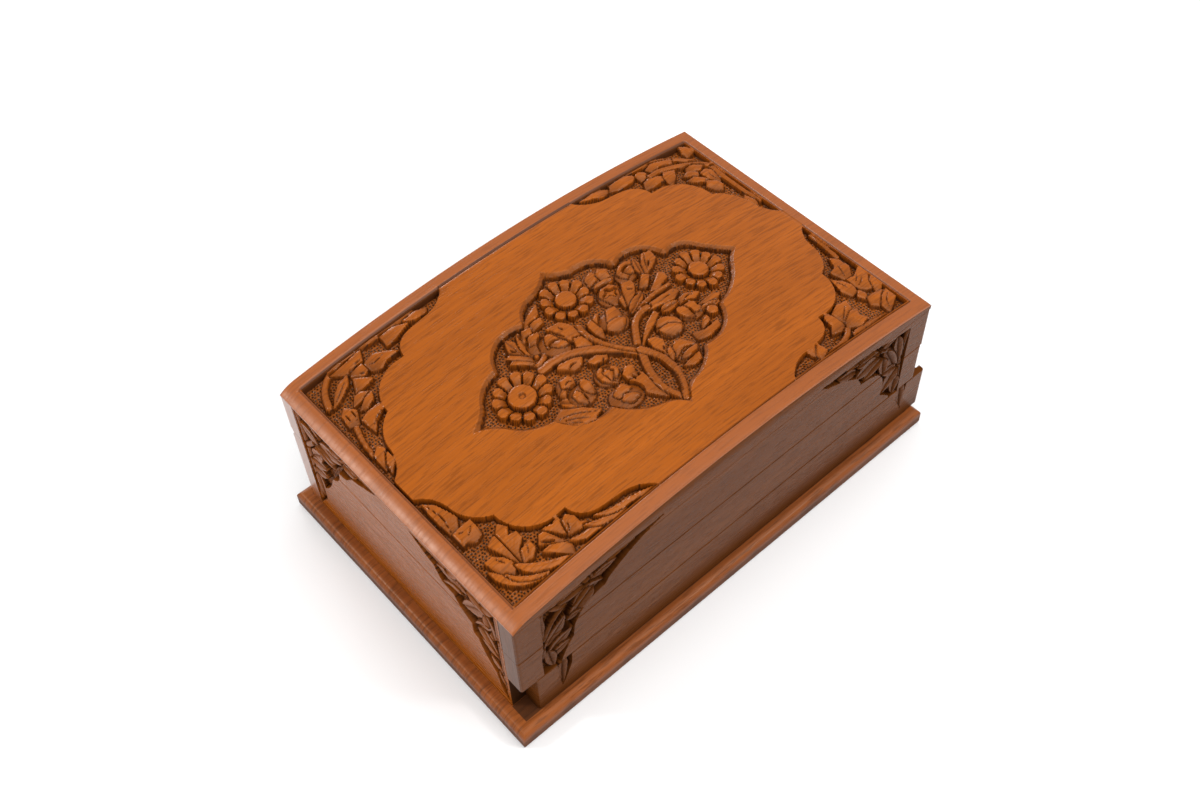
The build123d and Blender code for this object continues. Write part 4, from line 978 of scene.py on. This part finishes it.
def wood(name, light, dark, cut, grain="X", plan="XY", gloss=0.3, shine=0.4, tint=(1, 1, 1),
         coat=0.0, coat_gloss=0.14, foot=(0.0, 0.001, 0.0), contrast=1.0, channel=None):
    """Oiled wood with streaks and pores along its grain, painted brown in its cuts and punch marks
    for stain and shade.

    plan names the two axes of the carved face. foot is (low, high, strength) of the shade near
    the ground, its heights in metres. channel holds (axis, low, high) in millimetres for each
    axis of a shaded box.
    """
    material = bpy.data.materials.new(name)
    material.use_nodes = True
    tree = material.node_tree
    shader = tree.nodes["Principled BSDF"]
    place = tree.nodes.new("ShaderNodeTexCoord")
    link = tree.links.new

    def along_grain(along, across):
        """Object coordinates stretched along the grain, in cycles for each metre."""
        turn = tree.nodes.new("ShaderNodeMapping")
        turn.inputs["Scale"].default_value = [
            along if axis == grain else across if axis in plan else 0.05 * across for axis in "XYZ"
        ]
        link(place.outputs["Object"], turn.inputs["Vector"])
        return turn.outputs["Vector"]

    def noise(vector, detail=3.0, distortion=0.0):
        texture = tree.nodes.new("ShaderNodeTexNoise")
        texture.inputs["Scale"].default_value = 1.0
        texture.inputs["Detail"].default_value = detail
        texture.inputs["Distortion"].default_value = distortion
        link(vector, texture.inputs["Vector"])
        return texture.outputs["Fac"]

    def remap(value, low, high, to_low=0.0, to_high=1.0):
        node = tree.nodes.new("ShaderNodeMapRange")
        limits = {"From Min": low, "From Max": high, "To Min": to_low, "To Max": to_high}
        for socket, number in limits.items():
            node.inputs[socket].default_value = number
        link(value, node.inputs["Value"])
        return node.outputs["Result"]

    def blend(share, first, second):
        node = tree.nodes.new("ShaderNodeMix")
        node.data_type = "RGBA"
        link(share, node.inputs["Factor"])
        for socket, colour in (("A", first), ("B", second)):
            target = [s for s in node.inputs if s.name == socket and s.type == "RGBA"][0]
            if isinstance(colour, tuple):
                target.default_value = (*colour, 1.0)
            else:
                link(colour, target)
        return [s for s in node.outputs if s.type == "RGBA"][0]

    def calc(operation, *values):
        node = tree.nodes.new("ShaderNodeMath")
        node.operation = operation
        for socket, value in zip(node.inputs, values):
            if isinstance(value, float):
                socket.default_value = value
            else:
                link(value, socket)
        return node.outputs["Value"]

    def darker(colour):
        return tuple(0.5 * part for part in colour)

    def attribute(key):
        node = tree.nodes.new("ShaderNodeAttribute")
        node.attribute_name = key
        return node.outputs["Fac"]

    def wave(column, row, column_rate, row_rate):
        angle = calc("ADD", calc("MULTIPLY", column, column_rate), calc("MULTIPLY", row, row_rate))
        return calc("MULTIPLY", calc("SINE", angle), punch_jitter)

    def punch_marks():
        """The punched marks, by the formula that shapes them."""
        split = tree.nodes.new("ShaderNodeSeparateXYZ")
        link(place.outputs["Object"], split.inputs["Vector"])
        u, v = (calc("MULTIPLY", split.outputs[axis], 1 / MM) for axis in plan)
        row = calc("ROUND", calc("DIVIDE", v, punch_rows))
        shift = calc("MULTIPLY", calc("FLOORED_MODULO", row, 2.0), 0.5)
        column = calc("ROUND", calc("SUBTRACT", calc("DIVIDE", u, punch_spacing), shift))
        middle_u = calc("MULTIPLY", calc("ADD", column, shift), punch_spacing)
        middle_u = calc("ADD", middle_u, wave(column, row, *jitter_wave_u))
        middle_v = calc("ADD", calc("MULTIPLY", row, punch_rows), wave(column, row, *jitter_wave_v))
        off_u, off_v = calc("SUBTRACT", u, middle_u), calc("SUBTRACT", v, middle_v)
        square = calc("ADD", calc("MULTIPLY", off_u, off_u), calc("MULTIPLY", off_v, off_v))
        mark = remap(square, (0.75 * punch_radius) ** 2, (1.25 * punch_radius) ** 2, 1.0, 0.0)
        return calc("MULTIPLY", mark, attribute("ground"))

    bands = remap(noise(along_grain(3.5, 30), 3.0, 0.8), 0.32, 0.7)
    streaks = remap(noise(along_grain(8, 560), 4.0, 0.1), 0.42, 0.62)
    dashes = remap(noise(along_grain(90, 1200), 2.0), 0.5, 0.64)
    colour = blend(calc("MULTIPLY", bands, band_share * contrast), light, dark)
    colour = blend(calc("MULTIPLY", streaks, streak_share * contrast), colour, dark)
    colour = blend(calc("MULTIPLY", dashes, dash_share * contrast), colour, darker(dark))
    lowest, highest, strength = foot
    split = tree.nodes.new("ShaderNodeSeparateXYZ")
    link(place.outputs["Object"], split.inputs["Vector"])
    shadow = remap(split.outputs["Z"], lowest, highest, strength, 0.0)
    # Painted darkness: stain and painted shade from the carving, and a painted shadow near the
    # ground
    dark_share = calc("MAXIMUM", attribute("carved"), shadow)
    # Painted shade inside the channel's box
    if channel:
        covered = channel_share
        for axis, low, high in channel:
            past_low = remap(split.outputs[axis], (low - 0.3) * MM, low * MM)
            before_high = remap(split.outputs[axis], high * MM, (high + 0.3) * MM, 1.0, 0.0)
            covered = calc("MULTIPLY", calc("MULTIPLY", past_low, before_high), covered)
        dark_share = calc("MAXIMUM", dark_share, covered)
    colour = blend(calc("MULTIPLY", dark_share, stain_and_shade_share), colour, cut)
    # The punch marks are painted darker still, for the stain and the shade in their pits
    colour = blend(calc("MULTIPLY", punch_marks(), punch_share), colour, darker(cut))
    link(colour, shader.inputs["Base Color"])
    worn = remap(noise(along_grain(60, 320), 2.0), 0.3, 0.7, gloss - 0.02, gloss + 0.04)
    dull = calc("MULTIPLY", dark_share, 0.4)
    link(calc("ADD", worn, dull), shader.inputs["Roughness"])
    shader.inputs["Specular IOR Level"].default_value = shine
    shader.inputs["Specular Tint"].default_value = (*tint, 1.0)
    shader.inputs["Coat Weight"].default_value = coat
    shader.inputs["Coat Roughness"].default_value = coat_gloss
    grooves = tree.nodes.new("ShaderNodeBump")
    grooves.inputs["Strength"].default_value = 0.3
    grooves.inputs["Distance"].default_value = 0.00015
    link(dashes, grooves.inputs["Height"])
    grooves.invert = True
    varnish = tree.nodes.new("ShaderNodeBump")
    varnish.inputs["Strength"].default_value = 0.35
    varnish.inputs["Distance"].default_value = 0.0001
    link(noise(along_grain(420, 640), 3.0, 0.6), varnish.inputs["Height"])
    link(grooves.outputs["Normal"], varnish.inputs["Normal"])
    link(varnish.outputs["Normal"], shader.inputs["Normal"])
    return material


def metal(name, light, dark, gloss):
    """Old metal with cloudy tarnish."""
    material = bpy.data.materials.new(name)
    material.use_nodes = True
    tree = material.node_tree
    shader = tree.nodes["Principled BSDF"]
    place = tree.nodes.new("ShaderNodeTexCoord")
    cloud = tree.nodes.new("ShaderNodeTexNoise")
    cloud.inputs["Scale"].default_value = 260.0
    cloud.inputs["Detail"].default_value = 4.0
    shades = tree.nodes.new("ShaderNodeValToRGB")
    for element, colour, position in zip(shades.color_ramp.elements, (dark, light), (0.35, 0.62)):
        element.color = (*colour, 1.0)
        element.position = position
    tree.links.new(place.outputs["Object"], cloud.inputs["Vector"])
    tree.links.new(cloud.outputs["Fac"], shades.inputs["Fac"])
    tree.links.new(shades.outputs["Color"], shader.inputs["Base Color"])
    shader.inputs["Metallic"].default_value = 1.0
    shader.inputs["Roughness"].default_value = gloss
    return material


def paint(piece, material):
    """Gives a piece one material."""
    piece.data.materials.clear()
    piece.data.materials.append(material)


# Height of the lid's arch along the box
top_low, top_high = span_mm("lid_top_board")
board_bottom = top_low[2]
crown_height = top_high[2]
arch_end_height = 90.0
half_length = -top_low[0]
arch_rise = crown_height - arch_end_height
arch_radius = (half_length**2 + arch_rise**2) / (2 * arch_rise)
nose_width = 8.5
nose_foot = 0.8
edge_round = 0.8


# The arc of the rounded left end, which leaves the arch without a kink
nose_start = nose_width - half_length
nose_rise = math.sqrt(arch_radius**2 - nose_start**2)
nose_start_height = crown_height - arch_radius + nose_rise
nose_inward = np.array([-nose_start, -nose_rise]) / arch_radius
nose_chord = np.array([-half_length - nose_start, board_bottom + nose_foot - nose_start_height])
nose_radius = nose_chord @ nose_chord / (2 * nose_inward @ nose_chord)
nose_centre = np.array([nose_start, nose_start_height]) + nose_radius * nose_inward


def arch_height(x):
    """Height of the uncarved top at x, with its rounded left end."""
    arch = crown_height - arch_radius + np.sqrt(arch_radius**2 - x**2)
    across = np.clip(x - nose_centre[0], -nose_radius, nose_radius)
    nose = nose_centre[1] + np.sqrt(nose_radius**2 - across**2)
    return np.where(x < nose_start, nose, arch)


def edge_sag(past, radius):
    """How far a rounded edge lies below its face, past the start of the round."""
    past = np.clip(past, 0, radius)
    return radius - np.sqrt(radius**2 - past**2)


# Rows of the top board's edge above its underside, and where its carving and its faces end
edge_levels = [5.6, 4.4, 3.7, 3.1, 2.5, 1.9, 1.3, 0.7, 0.0]
edge_carving_height = 4.2
edge_face_depth = 3.5


def top_board():
    """The lid's arched and carved top board, with the side carving on its long edges."""
    low, high = top_low, top_high

    def to_space(u, v, depth, row):
        past_long = np.maximum(low[1] + edge_round - v, v - high[1] + edge_round)
        past_right = u - high[0] + edge_round
        rim = arch_height(u) - edge_sag(np.maximum(past_long, past_right), edge_round)
        level = np.array([0.0] + edge_levels)[row]
        share = level / (edge_levels[0] + 0.8)
        side = board_bottom + np.minimum(level, (rim - board_bottom) * share)
        height = np.where(row == 0, rim - depth, side)
        inset = -carve_long_face(u, height).height * ((v < low[1] + 0.01) | (v > high[1] - 0.01))
        inset = np.where((row == 0) | (height > board_bottom + edge_carving_height), 0.0, inset)
        return np.column_stack([u, v - np.sign(v) * inset, height])

    def near_ends(u, v, level):
        return (level < 2) & (u < low[0] + nose_width + 1.0)

    piece = carved_slab(
        "carved_lid_top", (low[0], high[0]), (low[1], high[1]), carve_top, to_space,
        rows=len(edge_levels), cell=top_cell, extra=near_ends,
    )
    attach(piece, "lid")
    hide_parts("lid_top_board")
    return piece


seam_round = 0.35
corner_round = 1.0


def wall_round(u, v, u_span, v_span, corners=True):
    """Sag of a wall's worn edges: small along its seams, larger along the box's upright corners."""
    beside_seam = np.maximum(v_span[0] + seam_round - v, v - v_span[1] + seam_round)
    reach = corner_round if corners else seam_round
    beside_corner = np.maximum(u_span[0] + reach - u, u - u_span[1] + reach)
    return np.maximum(edge_sag(beside_seam, seam_round), edge_sag(beside_corner, reach))


def long_wall(name, node, body, outward, carve, bevel=None, tongue=0.0):
    """A wall along x whose face looks along outward y.

    bevel (edge, depth, height) is the slope beside the hinges, at the lower or upper edge.
    """
    low, high = span_mm(node)
    face = low[1] if outward < 0 else high[1]
    thickness = high[1] - low[1]
    u_span, v_span = (low[0], high[0]), [low[2] + tongue, high[2]]
    if bevel:
        edge, bevel_depth, outer_height = bevel
        v_span[edge] = outer_height

    def to_space(u, v, depth, row):
        face_depth = depth + wall_round(u, v, u_span, v_span)
        rest = np.where(row == rows, thickness, bevel_depth if bevel else thickness)
        height = v
        if bevel:
            on_edge = (row > 0) & (np.abs(v - v_span[edge]) < 0.01)
            height = np.where(on_edge, (low[2], high[2])[edge], v)
        return np.column_stack([u, face - outward * np.where(row == 0, face_depth, rest), height])

    rows = 2 if bevel else 1
    piece = carved_slab(name, u_span, v_span, carve, to_space, rows=rows)
    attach(piece, body)
    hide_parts(node)
    return piece


def short_wall(name, node, body, outward):
    """A wall along y whose face looks along outward x."""
    low, high = span_mm(node)
    face = low[0] if outward < 0 else high[0]
    thickness = high[0] - low[0]
    u_span, v_span = (low[1], high[1]), (low[2], high[2])

    def to_space(u, v, depth, row):
        face_depth = depth + wall_round(u, v, u_span, v_span, corners=False)
        return np.column_stack([face - outward * np.where(row == 0, face_depth, thickness), u, v])

    piece = carved_slab(name, u_span, v_span, carve_short_face, to_space)
    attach(piece, body)
    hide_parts(node)
    return piece


top_colours = ((0.395, 0.094, 0.006), (0.19, 0.04, 0.002), (0.03, 0.006, 0.001))
top_wood = wood(
    "carved top wood", *top_colours, gloss=0.25, shine=0.35, tint=(1.0, 0.6, 0.3), coat=0.13,
)
rim_wood = wood(
    "handled rim wood", (0.33, 0.08, 0.008), *top_colours[1:],
    gloss=0.34, shine=0.6, tint=(1.0, 0.8, 0.65), coat=0.2, coat_gloss=0.3, contrast=0.6,
)
# The long sides are painted much darker than the top, and the short sides a little darker, as
# shaded copies of one wood; foot paints a shadow near the bottom of the long sides
long_side_shaded_colours = ((0.125, 0.036, 0.006), (0.06, 0.015, 0.002), (0.015, 0.003, 0.0005))
long_side_shaded_wood = wood(
    "long side wood", *long_side_shaded_colours,
    plan="XZ", gloss=0.24, shine=0.06, tint=(1.0, 0.6, 0.3), foot=(0.012, 0.024, 0.38),
)
short_side_shaded_colours = ((0.3, 0.073, 0.003), (0.15, 0.036, 0.002), (0.03, 0.007, 0.001))
short_side_shaded_wood = wood(
    "short side wood", *short_side_shaded_colours, grain="Y", plan="YZ",
    gloss=0.26, shine=0.17, tint=(1.0, 0.75, 0.5), contrast=0.8,
)
front_end_wood = wood(
    "front wall end wood", *long_side_shaded_colours, grain="Z", plan="YZ", gloss=0.34, shine=0.3,
)
back_end_wood = wood(
    "back wall end wood", *short_side_shaded_colours, grain="Z", plan="YZ",
    gloss=0.34, shine=0.9, coat=0.8, coat_gloss=0.3,
)
# The base board is painted darker just above the floor, as shadow, and darker over the strip's
# channel, as shade
base_wood = wood(
    "base board wood", (0.32, 0.088, 0.02), (0.09, 0.023, 0.006), (0.02, 0.006, 0.002),
    shine=0.22, tint=(1.0, 0.8, 0.6), foot=(0.004, 0.009, 0.7), contrast=1.05,
    channel=(("X", -125.0, 125.0), ("Y", -82.0, -72.6), ("Z", 5.0, 12.0)),
)
inner_wood = wood(
    "plain inner wood", (0.25, 0.115, 0.045), (0.15, 0.065, 0.025), (0.1, 0.04, 0.015),
    gloss=0.55, shine=0.2,
)
# A near-black wood, painted for the shade inside the strip's channel
hollow_shade_wood = wood(
    "wood inside the strip's channel", (0.035, 0.012, 0.004), (0.02, 0.007, 0.002),
    (0.01, 0.004, 0.001), shine=0.05,
)
old_brass = metal("old brass", (0.62, 0.42, 0.16), (0.3, 0.19, 0.08), 0.36)

lid_top = top_board()
# The top board's long edges take the long faces' carving darkness: stain and painted shade
places = corners_of(lid_top.data) / MM
edge_x, edge_z = places[:, 0], places[:, 2]
beside_edge = np.abs(places[:, 1]) > top_high[1] - edge_face_depth
on_edge = beside_edge & (arch_height(edge_x) - edge_z > edge_round)
on_edge &= edge_z > board_bottom + 0.1
shades = np.zeros(len(places), np.float32)
lid_top.data.attributes["carved"].data.foreach_get("value", shades)
edge_shades = carve_long_face(edge_x, edge_z).shade
edge_shades = np.where(edge_z < board_bottom + edge_carving_height, edge_shades, 0.0)
shades = np.where(on_edge, edge_shades, shades).astype(np.float32)
lid_top.data.attributes["carved"].data.foreach_set("value", shades)
paint(lid_top, top_wood)
# Its long edges take the long sides' shaded wood, its right end the short sides' shaded wood, and
# its rim the rim wood
for wood_of_edge in (long_side_shaded_wood, short_side_shaded_wood, rim_wood):
    lid_top.data.materials.append(wood_of_edge)
for face in lid_top.data.polygons:
    x, y, z = face.center / MM
    if abs(y) > top_high[1] - edge_face_depth and arch_height(x) - z > 0.6:
        face.material_index = 1
    elif x > top_high[0] - 0.1:
        face.material_index = 2
    elif not (frame_left < x < frame_right and frame_front < y < frame_back):
        face.material_index = 3

# Joinery of the hinges, the strip and its pegs, in millimetres
lid_stop_angle = 101.0
bevel_depth = 2.5
bevel_slope = math.tan(math.radians(lid_stop_angle / 2))
hinge_height = 61.6
bevel_low = hinge_height - bevel_depth * bevel_slope
bevel_high = hinge_height + bevel_depth * bevel_slope
slide_shift = 8.0
tongue_height = 3.1
tongue_width = 3.0
tongue_end_margin = 12.0
groove_depth = 3.4
groove_width = 3.3
peg_place = 80.0
peg_slot_radius = 2.3
peg_slot_depth = 6.0
hinge_y = 79.5
hinge_x = 75.0
hinge_half_length = 12.5
leaf_width = 6.0
leaf_depth = 1.0
knuckle_relief = 2.0
half_seam = 0.1
past_face = 1.0


def carve_slide(u, v):
    """The sliding strip, which the photograph shows slid to the right."""
    return carve_long_face(u, v, tail_shift=0.0)


def carve_back(u, v):
    """The back of the box, whose carved corners run down without a step."""
    return carve_long_face(u, v, tail_shift=-slide_shift)


long_walls = [
    long_wall("carved_lid_front", "lid_front_wall", "lid", -1, carve_long_face),
    long_wall("carved_front_rail", "tray_front_rail", "tray", -1, carve_long_face,
              tongue=tongue_height),
    long_wall("carved_sliding_strip", "sliding_panel", "panel", -1, carve_slide),
    long_wall("carved_lid_back", "lid_back_wall", "lid", 1, carve_back,
              bevel=(0, bevel_depth, bevel_high)),
    long_wall("carved_tray_back", "tray_back_wall", "tray", 1, carve_back,
              bevel=(1, bevel_depth, bevel_low)),
]
short_walls = [
    short_wall("carved_lid_left", "lid_left_wall", "lid", -1),
    short_wall("carved_tray_left", "tray_left_wall", "tray", -1),
    short_wall("carved_lid_right", "lid_right_wall", "lid", 1),
    short_wall("carved_tray_right", "tray_right_wall", "tray", 1),
]
front_rail, sliding_strip, lid_back, tray_back = long_walls[1:]


def shape_with(piece, kind, cutter):
    """Cuts or joins the primitive that was just made, and removes it."""
    bpy.context.view_layer.objects.active = piece
    step = piece.modifiers.new("joinery", "BOOLEAN")
    step.operation = kind
    step.solver = "EXACT"
    step.object = cutter
    bpy.ops.object.modifier_apply(modifier=step.name)
    bpy.data.objects.remove(cutter)


def box_shape(piece, kind, low, high):
    """Cuts away, or adds, a box between two corners in millimetres."""
    middle = [(a + b) / 2 * MM for a, b in zip(low, high)]
    reach = [(b - a) * MM for a, b in zip(low, high)]
    bpy.ops.object.select_all(action="DESELECT")
    bpy.ops.mesh.primitive_cube_add(size=1, location=middle, scale=reach)
    shape_with(piece, kind, bpy.context.object)


def rod_cut(piece, radius, length, place, turn=(0, 0, 0)):
    """Cuts away a round rod, in millimetres."""
    bpy.ops.object.select_all(action="DESELECT")
    bpy.ops.mesh.primitive_cylinder_add(
        vertices=32, radius=radius * MM, depth=length * MM,
        location=[c * MM for c in place], rotation=turn,
    )
    shape_with(piece, "DIFFERENCE", bpy.context.object)


rail_low, rail_high = span_mm("tray_front_rail")
short_wall_front = span_mm("tray_left_wall")[0][1]
panel_low, panel_high = span_mm("sliding_panel")
slide_y = (panel_low[1] + panel_high[1]) / 2
tongue_top = rail_low[2] + tongue_height + past_face
box_shape(
    front_rail, "UNION",
    (rail_low[0] + tongue_end_margin, slide_y - tongue_width / 2, rail_low[2]),
    (rail_high[0] - tongue_end_margin, slide_y + tongue_width / 2, tongue_top),
)
box_shape(
    sliding_strip, "DIFFERENCE",
    (panel_low[0] - past_face, slide_y - groove_width / 2, panel_high[2] - groove_depth),
    (panel_high[0] + past_face, slide_y + groove_width / 2, panel_high[2] + past_face),
)
for peg_x in (-peg_place, peg_place):
    slot_ends = (peg_x, peg_x + slide_shift)
    box_shape(
        sliding_strip, "DIFFERENCE",
        (slot_ends[0], slide_y - peg_slot_radius, panel_low[2] - past_face),
        (slot_ends[1], slide_y + peg_slot_radius, panel_low[2] + peg_slot_depth),
    )
    middle = panel_low[2] + (peg_slot_depth - past_face) / 2
    for slot_end in slot_ends:
        place = (slot_end, slide_y, middle)
        rod_cut(sliding_strip, peg_slot_radius, peg_slot_depth + past_face, place)
for piece, direction in ((lid_back, 1), (tray_back, -1)):
    past_hinge = hinge_height - direction * past_face
    seat = hinge_height + direction * (half_seam + leaf_depth)
    seat_low, seat_high = sorted((past_hinge, seat))
    for middle in (-hinge_x, hinge_x):
        box_shape(
            piece, "DIFFERENCE",
            (middle - hinge_half_length, hinge_y - leaf_width, seat_low),
            (middle + hinge_half_length, hinge_y + half_seam, seat_high),
        )
        rod_cut(
            piece, knuckle_relief, 2 * hinge_half_length, (middle, hinge_y, hinge_height),
            turn=(0, math.radians(90), 0),
        )
for piece in (sliding_strip, lid_back, tray_back):
    bpy.ops.object.select_all(action="DESELECT")
    bpy.context.view_layer.objects.active = piece
    piece.select_set(True)
    select_faces(piece.data, np.ones(len(piece.data.polygons), bool))
    in_edit_mode(bpy.ops.mesh.fill_holes, sides=8)
for piece in long_walls:
    paint(piece, long_side_shaded_wood)
    piece.data.materials.append(back_end_wood if piece in (lid_back, tray_back) else front_end_wood)
    for face in piece.data.polygons:
        if face.center.x < (top_low[0] + 0.1) * MM:
            face.material_index = 1
# The short walls' faces inside the strip's channel take the dark wood painted for shade
for piece in short_walls:
    paint(piece, short_side_shaded_wood)
    piece.data.materials.append(hollow_shade_wood)
    for face in piece.data.polygons:
        if face.center.y < (short_wall_front + 0.05) * MM:
            face.material_index = 1
paint(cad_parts["plinth"], base_wood)
for name in ("guide_pegs", "keeper_block", "catch_block"):
    paint(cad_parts[name], inner_wood)
for name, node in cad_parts.items():
    if "hinge" in name or "screws" in name or name == "catch_hook":
        paint(node, old_brass)


def set_camera():
    """The photograph's camera."""
    azimuth, elevation, roll = (math.radians(a) for a in (view_azimuth, view_elevation, view_roll))
    flat = math.cos(elevation)
    back = Vector((math.sin(azimuth) * flat, -math.cos(azimuth) * flat, math.sin(elevation)))
    level = Vector((math.cos(azimuth), math.sin(azimuth), 0))
    upright = back.cross(level)
    right = level * math.cos(roll) + upright * math.sin(roll)
    up = upright * math.cos(roll) - level * math.sin(roll)
    camera = bpy.data.objects.new("camera", bpy.data.cameras.new("camera"))
    bpy.context.scene.collection.objects.link(camera)
    camera.data.lens = focal_length
    camera.data.sensor_width = 36.0
    camera.location = (back * view_distance - right * aim_right - up * aim_up) * MM
    camera.rotation_euler = Matrix((right, up, back)).transposed().to_euler()
    camera.data.clip_end = 50.0
    bpy.context.scene.camera = camera


floor_gap = 0.0001


def area_light(name, place, size, power):
    """A soft square light that looks at the box."""
    light = bpy.data.lights.new(name, "AREA")
    light.shape = "SQUARE"
    light.size = size
    light.energy = power
    lamp = bpy.data.objects.new(name, light)
    bpy.context.scene.collection.objects.link(lamp)
    lamp.location = place
    lamp.rotation_euler = (Vector((0, 0, 0.05)) - Vector(place)).to_track_quat("-Z", "Y").to_euler()


def studio():
    """A plain pale floor, a hair below the box, and soft light from all round."""
    scene = bpy.context.scene
    bpy.ops.object.select_all(action="DESELECT")
    bpy.ops.mesh.primitive_plane_add(size=8.0, location=(0, 0, -floor_gap))
    floor = bpy.context.object
    floor.name = "studio_floor"
    surface = bpy.data.materials.new("studio floor")
    surface.use_nodes = True
    shader = surface.node_tree.nodes["Principled BSDF"]
    shader.inputs["Base Color"].default_value = (0.93, 0.93, 0.93, 1)
    shader.inputs["Roughness"].default_value = 0.9
    paint(floor, surface)
    world = bpy.data.worlds.new("studio air")
    world.use_nodes = True
    world.node_tree.nodes["Background"].inputs["Color"].default_value = (1, 1, 1, 1)
    world.node_tree.nodes["Background"].inputs["Strength"].default_value = 0.6
    scene.world = world
    area_light("ceiling", (0.1, -0.55, 1.9), 2.2, 30)
    area_light("window", (-1.25, 0.9, 1.15), 0.25, 8)
    area_light("lamp", (0.7, -1.25, 1.1), 0.3, 6)
    area_light("far lamp", (0.35, 1.6, 0.55), 0.5, 5)
    scene.view_settings.view_transform = "Standard"


set_camera()
studio()
